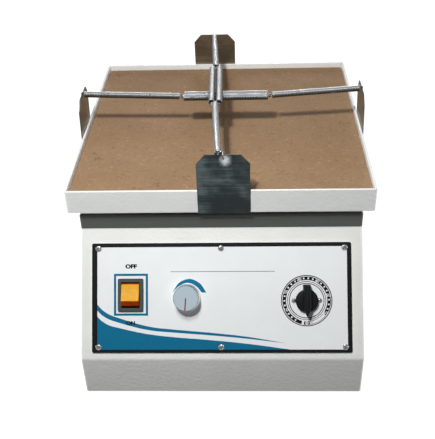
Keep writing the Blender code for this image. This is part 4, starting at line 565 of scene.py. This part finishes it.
# %% Make the two chains of springs
CHAIN_LEVEL = 0.2472
PAIR_ASIDE = 0.0039
PAIR_OFFSET = 0.0013
LINK_DISTANCE = 0.00345
HOOK_REACH = 0.0042
SPRING_ASIDE = 0.0046
ALONG_HALF = 0.0436
ACROSS_HALF = 0.0462
TRAY_HALF = 0.1525
CLIP_HINGE = 0.208
LOOP_OUT = -0.00095
LOOP_UP = 0.0392
PLATE_HOOK = (COIL_RADIUS, 0.0, 0.0)
LINK_HOOK = (COIL_RADIUS, 0.0, 90.0)
CLIPS = {
    "front": ((0, -1, 0), (0.0042, 0, 0), 0.0), "back": ((0, 1, 0), (-0.0127, 0, 0), 4.0),
    "left": ((-1, 0, 0), (0, -0.0160, 0), 2.0), "right": ((1, 0, 0), (0, -0.0100, 0), 2.0),
}


def plate_point(side):
    """Where a spring's loop passes through its clip: out by half the tray, up from the rim, and
    leant inwards about the rim by the clip's angle."""
    outwards, along, lean = CLIPS[side]
    lean = math.radians(lean)
    reach = TRAY_HALF + LOOP_OUT * math.cos(lean) - LOOP_UP * math.sin(lean)
    height = CLIP_HINGE + LOOP_OUT * math.sin(lean) + LOOP_UP * math.cos(lean)
    return TRAY_MIDDLE + np.array(outwards) * reach + np.array(along) + (0, 0, height)


def pulled_aside(path, plate, link):
    """The front spring hangs a little to the left of its hole, so its hook slants: each point moves
    left by a share that grows over the hook and dies away towards the link."""
    share = np.clip((path[:, 1] - plate[1]) / (link[1] - plate[1]), 0, 1)
    grown = np.clip(share * (link[1] - plate[1]) / HOOK_REACH, 0, 1)
    moved = SPRING_ASIDE * (3 * grown**2 - 2 * grown**3) * (1 - share) ** 0.8
    return path + moved[:, None] * np.array([-1.0, 0.0, 0.0])


def make_spring(name, path, body):
    """A spring's mesh in place of the plain one."""
    rings = wire(path, WIRE_RADIUS)
    return make_piece("wound_" + name, rings, ringed(rings), body, "bright_steel", spring_steel,
                      sharp=60.0, over=(name,))


turn = math.radians(1.1)
chains = {
    "along": (np.array([-0.0066, -0.0048, CHAIN_LEVEL + PAIR_ASIDE]), ALONG_HALF,
              np.array([-math.sin(turn), math.cos(turn), 0.0]), ("front", "back")),
    "across": (np.array([0.0045, -0.016, CHAIN_LEVEL - PAIR_ASIDE]), ACROSS_HALF,
               np.array([1.0, 0.0, 0.0]), ("left", "right")),
}
for chain, (middle, half, run, ends) in chains.items():
    middle = middle + TRAY_MIDDLE
    for number, hand in ((1, 1), (2, -1)):
        inwards = -hand * (PAIR_ASIDE - PAIR_OFFSET)
        hooks = ((0.0021, -inwards, 0.0), (0.0021, inwards, 0.0))
        path = spring_path(middle - run * half, middle + run * half, *hooks, hand * PAIR_ASIDE)
        make_spring(f"spring_{chain}_{number}", path, "platform")
    for side, way in zip(ends, (-1, 1)):
        link = middle + run * way * (half + LINK_DISTANCE)
        plate = plate_point(side)
        path = spring_path(plate, link, PLATE_HOOK, LINK_HOOK)
        if side == "front":
            path = pulled_aside(path, plate, link)
        spring = make_spring(f"spring_{side}", path, None)
        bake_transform(spring)

# %% [markdown]
# ## Placing things on the sloping panel
#
# The panel leans back, so its pieces are drawn flat, with millimetres to the right, up the panel
# and out of it, and then placed: the panel's middle plus each number times its direction.

# %% Helper: from the flat panel to the machine
PANEL_RIGHT = np.array([1.0, 0.0, 0.0])
PANEL_UP = np.array([0.0, 0.606043, 0.795432])
PANEL_OUT = np.array([0.0, -0.795432, 0.606043])
low, high = (np.array(corner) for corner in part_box("control_panel"))
PANEL_MIDDLE = (low + high) / 2 + 0.0006 * PANEL_OUT


def on_panel(flat):
    """Points in millimetres, right, up and out, placed on the printed face in metres."""
    flat = np.asarray(flat, float) / 1000
    return PANEL_MIDDLE + flat @ np.stack([PANEL_RIGHT, PANEL_UP, PANEL_OUT])


print("printed face's middle", PANEL_MIDDLE.round(5))

# %% [markdown]
# ## The print on the panel
#
# The print is a black border, a blue frame round the switch, a wedge over the speed knob that
# grows to the right, and a blue wave along the bottom. Each area is a very thin plate, a few
# hundredths of a millimetre proud, so it keeps a crisp edge at any distance.

# %% Helpers: smooth outlines and printed bands
INK_DEPTH = 0.05


def smooth(points, count):
    """A smooth line through points: cubic pieces whose slopes are the slopes between neighbours."""
    points = np.asarray(points, float)
    far = np.concatenate([[0], np.cumsum(np.linalg.norm(np.diff(points, axis=0), axis=1))])
    slope = np.gradient(points, far, axis=0)
    at = np.linspace(0, far[-1], count)
    part = np.clip(np.searchsorted(far, at, side="right") - 1, 0, len(far) - 2)
    gap = (far[part + 1] - far[part])[:, None]
    t = (at - far[part])[:, None] / gap
    curve = (2 * t**3 - 3 * t**2 + 1) * points[part] + (3 * t**2 - 2 * t**3) * points[part + 1]
    return curve + gap * ((t**3 - 2 * t**2 + t) * slope[part] + (t**3 - t**2) * slope[part + 1])


def printed_band(name, outer, inner, paint, closed=True, height=0.05):
    """A thin plate between two outlines with as many points each."""
    outer, inner = np.asarray(outer, float), np.asarray(inner, float)
    section = [(outer, height), (inner, height), (inner, -INK_DEPTH), (outer, -INK_DEPTH)]
    rings = np.stack([np.column_stack([line, np.full(len(line), z)]) for line, z in section], 1)
    faces = grid_squares(len(outer), 4, round_rows=closed)
    if not closed:
        faces += [[0, 1, 2, 3], [4 * len(outer) - 4 + corner for corner in range(4)]]
    return make_piece(name, on_panel(rings), faces, "base", "printed_panel", paint)


def box_outline(left, bottom, right, top, radius=0.0, steps=6):
    """A rectangle's outline, with quarter circles at its corners."""
    angle = np.radians(np.linspace(0, 90, steps))
    corners = ((right, top, 0), (left, top, 90), (left, bottom, 180), (right, bottom, 270))
    parts = []
    for x, y, start in corners:
        turned = angle + math.radians(start)
        middle = np.array([x, y]) - radius * np.sign([x - (left + right) / 2, y - (top + bottom) / 2])
        parts.append(middle + radius * np.stack([np.cos(turned), np.sin(turned)], 1))
    return np.concatenate(parts)


def arc(radius, start, end, count, middle=(0.0, 0.0)):
    """Points of a circle from one clock angle to another, in degrees clockwise from the top."""
    angle = np.radians(np.linspace(start, end, count))
    return np.array(middle) + radius * np.stack([np.sin(angle), np.cos(angle)], 1)


# %% The border, the switch's frame, the wedge and the wave
PLATE = (-130.7, -55.2, 130.7, 55.2, 1.9)
FIELD = (-125.3, -52.0, 126.3, 51.1)
SURROUND = (-108.4, -17.9, -73.8, 24.4)
SURROUND_INSIDE = (-106.15, -15.65, -76.05, 22.15)
printed_band("panel_border", box_outline(*PLATE), box_outline(*FIELD), black_ink)
printed_band("switch_surround", box_outline(*SURROUND), box_outline(*SURROUND_INSIDE), blue_ink)
wedge_outer = smooth([(-48.7, 6.0), (-42.2, 15.2), (-31.3, 18.9), (-21.3, 14.4), (-14.9, 5.2)], 48)
wedge_inner = smooth([(-48.6, 5.9), (-42.2, 11.9), (-33.7, 14.9), (-24.9, 11.3), (-19.6, 5.2)], 48)
printed_band("speed_wedge", wedge_outer, wedge_inner, blue_ink, closed=False)
WAVE_POINTS = 64
wave_top = smooth([
    (-125.3, -6.6), (-121.0, -11.4), (-114.5, -16.0), (-102.3, -20.6), (-69.9, -29.4),
    (-46.6, -32.0), (-16.4, -34.6), (23.7, -38.9), (63.7, -45.5),
], WAVE_POINTS)
wave_bottom = smooth([
    (-125.3, -12.6), (-121.0, -17.0), (-114.5, -21.0), (-102.3, -25.2), (-69.9, -32.9),
    (-46.6, -35.0), (-16.4, -37.3), (23.7, -40.9), (63.7, -45.6),
], WAVE_POINTS)
printed_band("wave_line", wave_top, wave_bottom, blue_ink, closed=False)
field_top = smooth([
    (-125.3, -18.8), (-121.0, -23.0), (-114.5, -27.0), (-102.3, -30.4), (-69.9, -37.0),
    (-46.6, -39.6), (-16.4, -42.0), (23.7, -45.9), (68.6, -51.9),
], WAVE_POINTS)
field_foot = np.column_stack([field_top[:, 0], np.full(WAVE_POINTS, FIELD[1] - INK_DEPTH)])
printed_band("wave_field", field_top, field_foot, blue_ink, closed=False)
printed_band("heading_rule", [(-50.8, 26.5), (54.0, 26.5)], [(-50.8, 25.9), (54.0, 25.9)], grey_ink,
             closed=False)

# %% [markdown]
# ## The timer's dial
#
# The dial is printed in black: a thin outer ring, a broad band that carries the minutes in white
# with three ticks between them, and thin rings inside. Angles run clockwise from the top, as the
# minutes do.

# %% Rings, scale band, ticks
DIAL = (85.7, -3.3)
SCALE_START = 198.5
SCALE_STEP = 47.5


def dial_ring(name, inner, outer, paint, start=0.0, end=360.0, height=0.05):
    """A ring or part of one, between two radii in millimetres."""
    count = max(4, round(abs(end - start) / 3.0) + 1)
    whole = end - start >= 360.0
    lines = [arc(radius, start, end, count, DIAL)[: count - whole] for radius in (outer, inner)]
    return printed_band(name, *lines, paint, closed=whole, height=height)


dial_ring("dial_outer_ring", 24.7, 25.6, black_ink)
dial_ring("dial_scale_band", 20.6, 24.1, black_ink, 193.0, 488.5)
dial_ring("dial_zero_patch", 20.6, 24.1, black_ink, 172.5, 187.5)
dial_ring("dial_rest_outer", 23.7, 24.1, black_ink, 130.0, 172.0)
dial_ring("dial_rest_inner", 20.6, 21.0, black_ink, 130.0, 172.0)
dial_ring("dial_middle_ring", 18.8, 19.4, black_ink)
dial_ring("dial_inner_ring", 16.9, 17.7, black_ink)
for minutes in range(0, 60, 10):
    for tick in range(1, 4):
        at = SCALE_START + SCALE_STEP * (minutes / 10 + tick / 4)
        dial_ring(f"dial_tick_{minutes + tick}", 21.5, 23.2, white_ink, at - 1.9, at + 1.9, 0.09)

# %% [markdown]
# ## Lettering
#
# The words ON and OFF and the minutes are set with Blender's own typeface, thickened, made a mesh
# and then fitted to the box that each one fills on the panel.

# %% Helper: letters fitted to a box, then the words
def lettering(name, words, left, bottom, right, top, paint, bold=0.012, height=0.05):
    """Words as thin plates that fill a box in millimetres on the panel."""
    text = bpy.data.curves.new(name, "FONT")
    text.body = words
    text.extrude = 0.5
    text.offset = bold
    text.resolution_u = 4
    holder = bpy.data.objects.new(name, text)
    bpy.context.collection.objects.link(holder)
    bpy.context.view_layer.update()
    mesh = bpy.data.meshes.new_from_object(holder)
    bpy.data.objects.remove(holder)
    points = np.empty(3 * len(mesh.vertices))
    mesh.vertices.foreach_get("co", points)
    points = points.reshape(-1, 3)
    low, high = points.min(0), points.max(0)
    small, large = np.array([left, bottom, -INK_DEPTH]), np.array([right, top, height])
    flat = small + (points - low) / (high - low) * (large - small)
    faces = [list(face.vertices) for face in mesh.polygons]
    bpy.data.meshes.remove(mesh)
    return make_piece(name, on_panel(flat), faces, "base", "printed_panel", paint)


lettering("word_off", "OFF", -96.8, 29.5, -85.0, 34.0, black_ink, 0.058)
lettering("word_on", "ON", -96.0, -27.4, -87.0, -23.2, black_ink, 0.06, 0.08)
lettering("minutes_0", "0", 84.2, -27.2, 87.2, -24.0, white_ink, 0.03, 0.09)
for index in range(6):
    at = math.radians(SCALE_START + SCALE_STEP * (index + 1))
    x, y = DIAL[0] + 22.35 * math.sin(at), DIAL[1] + 22.35 * math.cos(at)
    lettering(f"minutes_{10 * index + 10}", str(10 * index + 10), x - 2.2, y - 1.6, x + 2.2, y + 1.6,
              white_ink, 0.02, 0.09)

# %% [markdown]
# ## Cross-head screws
#
# Six screws hold the panel and two the timer. A pan head is a low dome with a cross pressed into
# it. A square grid squeezed into a disc gives the dome even squares right to its middle, so the
# cross can be pressed in as a function of the place on the disc.

# %% Screw heads with their shanks
HEAD_GRID = 33
CROSS_DEPTH = 1.35


def make_screw(name, right, up, radius, turn, body="base"):
    """A screw at a place on the panel, in millimetres. Its head's height is a dome less the cross,
    and its edge runs down to the panel and in to the shank."""
    line = np.linspace(-1, 1, HEAD_GRID)
    u, v = np.meshgrid(line, line, indexing="ij")
    x, y = u * np.sqrt(1 - v**2 / 2), v * np.sqrt(1 - u**2 / 2)
    far = np.hypot(x, y)
    arm = np.minimum(np.abs(u), np.abs(v))
    length = np.maximum(np.abs(u), np.abs(v))
    pressed = np.clip((0.2 - arm) / 0.1, 0, 1) * np.clip((0.72 - length) / 0.2, 0, 1)
    height = 0.55 + 1.05 * np.sqrt(np.clip(1 - 0.93 * far**2, 0, 1)) - CROSS_DEPTH * pressed
    angle = math.radians(turn)
    flat_x = radius * (x * math.cos(angle) - y * math.sin(angle))
    flat_y = radius * (x * math.sin(angle) + y * math.cos(angle))
    dome = np.stack([flat_x, flat_y, height], -1).reshape(-1, 3)
    index = np.arange(HEAD_GRID**2).reshape(HEAD_GRID, HEAD_GRID)
    rim = np.concatenate([index[0, :-1], index[:-1, -1], index[-1, :0:-1], index[:0:-1, 0]])
    edge = dome[rim]
    rings = [edge * (1, 1, 0) + (0, 0, 0.35), edge * (0.97, 0.97, 0) + (0, 0, 0.03)]
    shank = 1.45 / radius
    rings += [edge * (shank, shank, 0) + (0, 0, 0.03), edge * (shank, shank, 0) + (0, 0, -5.4)]
    points = np.concatenate([dome, *rings]) + (right, up, 0)
    count = len(rim)
    start = HEAD_GRID**2
    loops = np.concatenate([rim, np.arange(start, start + 4 * count)]).reshape(5, count)
    beside = np.roll(loops, -1, axis=1)
    sides = np.stack([loops[:-1], beside[:-1], beside[1:], loops[1:]], -1).reshape(-1, 4).tolist()
    faces = grid_squares(HEAD_GRID, HEAD_GRID, round_columns=False) + sides + [loops[-1].tolist()]
    return make_piece("cross_" + name, on_panel(points), faces, body, "bright_steel", screw_steel,
                      sharp=50.0, over=(name,))


def panel_place(node):
    """A node's middle as millimetres to the right and up the panel."""
    low, high = (np.array(corner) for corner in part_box(node))
    offset = ((low + high) / 2 - PANEL_MIDDLE) * 1000
    return offset @ PANEL_RIGHT, offset @ PANEL_UP


SCREW_TURNS = (12, 37, 58, 71, 24, 49, 33, 5)
screws = [name for name in NODES if name.startswith("panel_screw") or name.startswith("timer_screw")]
for name, turned in zip(sorted(screws), SCREW_TURNS):
    make_screw(name, *panel_place(name), 2.3 if "timer" in name else 3.0, turned)

# %% [markdown]
# ## The speed knob
#
# The knob is turned aluminium: a fluted, bright side, and a flat face, lacquered grey-blue, inside
# a thin dull rim. Its outline is turned about the knob's axis, and the radius on the side falls and
# rises with the angle to make the flutes. The flutes' bottoms are painted dark as shade: the faces
# whose angle lies in a flute get a dark, duller finish, and the thin rim shares it.

# %% Speed knob
SPEED_PLACE = np.array([-34.6, 0.2])
KNOB_STEPS = 288
FLUTES = 36
FLUTE_DEPTH = 0.4
CAP_RADIUS = 12.22
CAP = (0.385, 0.462, 0.510)
cap_lacquer = finish("grey-blue lacquer", CAP, 0.45, Specular_IOR_Level=0.15)
relief(cap_lacquer, mottle(cap_lacquer, CAP, 0.03, 900.0, 2.0), 0.00002, 0.5)
KNOB_SIDE = (0.72, 0.73, 0.74)
knob_bright = finish("bright fluted aluminium", KNOB_SIDE, 0.35, 1.0)
vary_roughness(knob_bright, mottle(knob_bright, KNOB_SIDE, 0.1, 600.0), 0.3, 0.42)
# Painted shade: this dark colour goes on the flutes' bottoms, and on the thin rim round the face.
KNOB_FLUTE_SHADE_AND_RIM = (0.045, 0.052, 0.058)
flute_shade_and_rim = finish("painted shade in the flutes and the rim", KNOB_FLUTE_SHADE_AND_RIM, 0.6, 0.5)
mottle(flute_shade_and_rim, KNOB_FLUTE_SHADE_AND_RIM, 0.3, 700.0)


def turned_rings(profile, flutes=0.0):
    """Rings of a profile of radius, height and share of the fluting turned about the axis."""
    profile = np.asarray(profile, float)
    angle = np.linspace(0, 2 * math.pi, KNOB_STEPS, endpoint=False)[None]
    radius = profile[:, :1] - flutes * profile[:, 2:] * np.abs(np.sin(FLUTES * angle / 2))
    height = np.broadcast_to(profile[:, 1:2], radius.shape)
    return np.stack([radius * np.cos(angle), radius * np.sin(angle), height], -1)


profile = [
    (0.01, 15.02, 0), (5.0, 15.02, 0), (12.2, 15.02, 0), (12.26, 15.14, 0), (12.44, 15.15, 0),
    (12.58, 15.05, 0), (12.66, 14.85, 0), (12.7, 14.5, 0.4), (12.75, 14.2, 1), (13.0, 8.5, 1),
    (13.1, 3.6, 1), (13.15, 3.3, 0.3), (13.2, 3.1, 0), (13.7, 2.6, 0), (13.78, 2.2, 0), (13.8, 0.35, 0),
    (8.5, 0.32, 0), (8.5, 3.6, 0), (3.1, 3.6, 0), (3.1, -8.6, 0), (0.01, -8.6, 0),
]
rings = turned_rings(profile, FLUTE_DEPTH)
rings[..., :2] += SPEED_PLACE
knob = make_piece("fluted_speed_knob", on_panel(rings), ringed(rings), "speed_dial", "silver_knob",
                  knob_bright, cap_lacquer, flute_shade_and_rim, over=("speed_knob",))
centres = np.empty(3 * len(knob.data.polygons))
knob.data.polygons.foreach_get("center", centres)
local = (centres.reshape(-1, 3) - on_panel((*SPEED_PLACE, 0))) * 1000
height = local @ PANEL_OUT
far = np.linalg.norm(local - height[:, None] * PANEL_OUT, axis=1)
turn = np.arctan2(local @ PANEL_UP, local @ PANEL_RIGHT)
is_cap = (far < CAP_RADIUS) & (height > 10)
in_groove = (np.abs(np.sin(FLUTES * turn / 2)) > 0.6) & (height > 3.6) & (height < 14.4) & (far > 12.0)
is_edge = (far > CAP_RADIUS) & (height > 14.98)
knob.data.polygons.foreach_set("material_index", (is_cap + 2 * (in_groove | is_edge)).astype(np.int32))

pointer_turn = math.radians(-94.0)
across = np.array([math.sin(pointer_turn), -math.cos(pointer_turn)])
out = np.array([math.cos(pointer_turn), math.sin(pointer_turn)])
reach = np.linspace(-0.3, 12.3, 22)[:, None]
wide = 0.62 * np.ones_like(reach)
wide[0], wide[-1] = 0.3, 0.5
sides = [SPEED_PLACE + reach * out + hand * wide * across for hand in (-1, 1)]
section = [(sides[0], 15.12), (sides[1], 15.12), (sides[1], 14.9), (sides[0], 14.9)]
rings = np.stack([np.column_stack([line, np.full(len(line), z)]) for line, z in section], 1)
make_piece("speed_pointer", on_panel(rings), ringed(rings), "speed_dial", "silver_knob", plum_paint)

# %% [markdown]
# ## The timer knob
#
# The timer's knob is moulded in one piece: a low disc and across it a tall grip, blunt at one end
# and pointed at the other. The disc is turned, and the grip is its plan outline carried upwards
# and drawn in over the last two millimetres, so its top edges are rounded.

# %% Timer knob
TIMER_PLACE = np.array([85.8, -3.2])
profile = [
    (0.01, 6.0, 0), (5.0, 5.9, 0), (9.6, 5.5, 0), (10.7, 5.2, 0), (11.2, 4.8, 0), (11.3, 4.2, 0),
    (11.3, 2.4, 0), (10.2, 2.2, 0), (10.2, 0.8, 0), (10.0, 0.4, 0), (3.0, 0.35, 0), (3.0, -9.6, 0),
    (0.01, -9.6, 0),
]
rings = turned_rings(profile)
rings[..., :2] += TIMER_PLACE
make_piece("timer_disc", on_panel(rings), ringed(rings), "timer_dial", "black_plastic", black_plastic,
           over=("timer_knob",))


def grip_outline(inset, slope, count=12):
    """Half the grip's plan from its blunt end to its point, then mirrored: straight sides, then a
    hollow run to the point. The blunt end slopes back as the grip rises."""
    wide, blunt, neck, tip = 3.8 - inset, 16.4 - slope, -5.6, -15.4 + 1.6 * inset
    corner = np.radians(np.linspace(90, 0, count))
    rounded = np.stack([wide - 0.9 + 0.9 * np.cos(corner), blunt - 0.9 + 0.9 * np.sin(corner)], 1)
    t = np.linspace(0, 1, count)[:, None]
    run = (1 - t) ** 2 * [wide, neck] + 2 * t * (1 - t) * [wide - 0.6, -10.0] + t**2 * [0.25, tip]
    half = np.concatenate([rounded, run])
    return np.concatenate([half, half[::-1] * (-1, 1)])


levels = [
    (0.0, 0.3, 2.4), (0.1, 1.0, 9.0), (0.3, 1.5, 12.4), (0.7, 2.0, 13.5), (1.2, 2.5, 13.95),
    (1.8, 3.1, 14.1),
]
plans = [(grip_outline(inset, slope) + TIMER_PLACE, z) for inset, slope, z in levels]
rings = np.stack([np.column_stack([plan, np.full(len(plan), z)]) for plan, z in plans])
make_piece("timer_grip", on_panel(rings), ringed(rings), "timer_dial", "black_plastic", black_plastic)

# %% [markdown]
# ## The rocker
#
# The switch's rocker is a dished key that tips about a pin across the bezel. Its outline from the
# side, with the dish as a shallow parabola, is carried across its width. A small bevel rounds its
# edges. The faces that look out of the panel are clear amber, and the ends are painted deep orange
# as shade.

# %% Rocker
ROCKER_PLACE = (-91.3, 3.0)
ROCKER_HALF = 9.0
ROCKER_TILT = math.radians(-13.0)
share = np.linspace(-1, 1, 25)
face = np.stack([8.5 * share + 0.7, 8.0 - 0.8 * (1 - share**2)], 1)
outline = np.concatenate([
    [(-11.8, 3.0)], face, [(11.8, 3.0), (11.21, -3.0), (4.13, -4.0), (-4.13, -4.0), (-11.21, -3.0)],
])
cosine, sine = math.cos(ROCKER_TILT), math.sin(ROCKER_TILT)
turned = outline @ np.array([[cosine, sine], [-sine, cosine]])
ends = [np.column_stack([np.full(len(turned), x), turned]) for x in (-ROCKER_HALF, ROCKER_HALF)]
rings = np.stack(ends) + (*ROCKER_PLACE, -1.5)
rocker = make_piece("dished_rocker", on_panel(rings), ringed(rings), "rocker", "amber_lens", amber,
                    amber_in_shade, over=("switch_rocker",))
normals = np.empty(3 * len(rocker.data.polygons))
rocker.data.polygons.foreach_get("normal", normals)
facing = normals.reshape(-1, 3) @ PANEL_OUT
# Faces that do not look out of the panel get the amber painted in shade.
rocker.data.polygons.foreach_set("material_index", (facing < 0.8).astype(np.int32))
edges = rocker.modifiers.new("rounded edges", "BEVEL")
edges.width = 0.0005
edges.segments = 3
edges.limit_method = "ANGLE"

# %% [markdown]
# ## Floor and light
#
# The machine stands on a white sheet. To the camera and to reflections the sheet also glows a
# little, so it looks white and still keeps a shadow, while it returns only a modest light to the
# machine. One small lamp stands in front and above for the crisp shadows of the springs, and one
# hangs nearer, almost overhead, so the shadows of springs and knobs run the same way. Three broad
# lamps at the sides and the back keep those faces from going dark.

# %% Floor
FLOOR_HALF = 30.0
floor_mesh = bpy.data.meshes.new("floor")
corners = FLOOR_HALF * np.array([(-1, -1, 0), (1, -1, 0), (1, 1, 0), (-1, 1, 0)], float)
floor_mesh.from_pydata(corners.tolist(), [], [[0, 1, 2, 3]])
floor = bpy.data.objects.new("floor", floor_mesh)
bpy.context.collection.objects.link(floor)
paper = finish("white sheet", (0.6, 0.6, 0.6), 0.9, Specular_IOR_Level=0.0)
paths = add(paper, "LightPath", {})
seen = add(paper, "Math", {0: paths.outputs["Is Camera Ray"], 1: paths.outputs["Is Glossy Ray"]},
           operation="MAXIMUM")
seen = add(paper, "Math", {0: seen.outputs[0], 1: paths.outputs["Is Transmission Ray"]},
           operation="MAXIMUM")
sheet_tone = add(paper, "MapRange", {"Value": seen.outputs[0], "To Min": 0.1, "To Max": 0.26})
glow = add(paper, "Math", {0: seen.outputs[0], 1: 0.93}, operation="MULTIPLY")
to_shader(paper, "Base Color", sheet_tone.outputs["Result"])
paper_shader = paper.node_tree.nodes["Principled BSDF"]
paper_shader.inputs["Emission Color"].default_value = (1.0, 1.0, 1.0, 1.0)
to_shader(paper, "Emission Strength", glow.outputs[0])
floor_mesh.materials.append(paper)

# %% World and lamps
AMBIENT = 0.12
world = bpy.data.worlds.new("studio")
bpy.context.scene.world = world
world.use_nodes = True
sky = world.node_tree
background = sky.nodes["Background"]
background.inputs["Color"].default_value = (1.0, 1.0, 1.0, 1.0)
paths = sky.nodes.new("ShaderNodeLightPath")
seen = sky.nodes.new("ShaderNodeMath")
seen.operation = "MAXIMUM"
sky.links.new(paths.outputs["Is Camera Ray"], seen.inputs[0])
sky.links.new(paths.outputs["Is Glossy Ray"], seen.inputs[1])
through = sky.nodes.new("ShaderNodeMath")
through.operation = "MAXIMUM"
sky.links.new(seen.outputs[0], through.inputs[0])
sky.links.new(paths.outputs["Is Transmission Ray"], through.inputs[1])
strength = sky.nodes.new("ShaderNodeMapRange")
strength.inputs["To Min"].default_value = AMBIENT
strength.inputs["To Max"].default_value = 1.0
sky.links.new(through.outputs[0], strength.inputs["Value"])
sky.links.new(strength.outputs["Result"], background.inputs["Strength"])


def lamp(name, place, aim, size, power):
    """A square lamp whose face looks from its place to its aim."""
    data = bpy.data.lights.new(name, "AREA")
    data.size = size
    data.energy = power
    light = bpy.data.objects.new(name, data)
    bpy.context.collection.objects.link(light)
    away = np.array(place) - np.array(aim)
    away /= np.linalg.norm(away)
    side = np.cross((0, 1, 0), away)
    side /= np.linalg.norm(side)
    matrix = np.eye(4)
    matrix[:3, :3] = np.stack([side, np.cross(away, side), away], axis=1)
    matrix[:3, 3] = place
    light.matrix_world = Matrix(matrix.tolist())
    return light


lamp("front lamp", (-0.18, -0.709, 1.124), (0.0, 0.0, 0.15), 0.06, 8.3)
lamp("overhead lamp", (-0.095, -0.36, 0.709), (0.0, -0.05, 0.15), 0.10, 1.85)
for side_name, place, power in (("left", (-1.2, 0.0, 0.16), 8.5), ("right", (1.2, 0.0, 0.16), 8.5),
                                ("back", (0.0, 1.3, 0.45), 6.5)):
    lamp(side_name + " lamp", place, (0.0, 0.0, 0.12), 0.4, power)
bpy.context.scene.view_settings.view_transform = "Standard"
print("floor, world and five lamps")
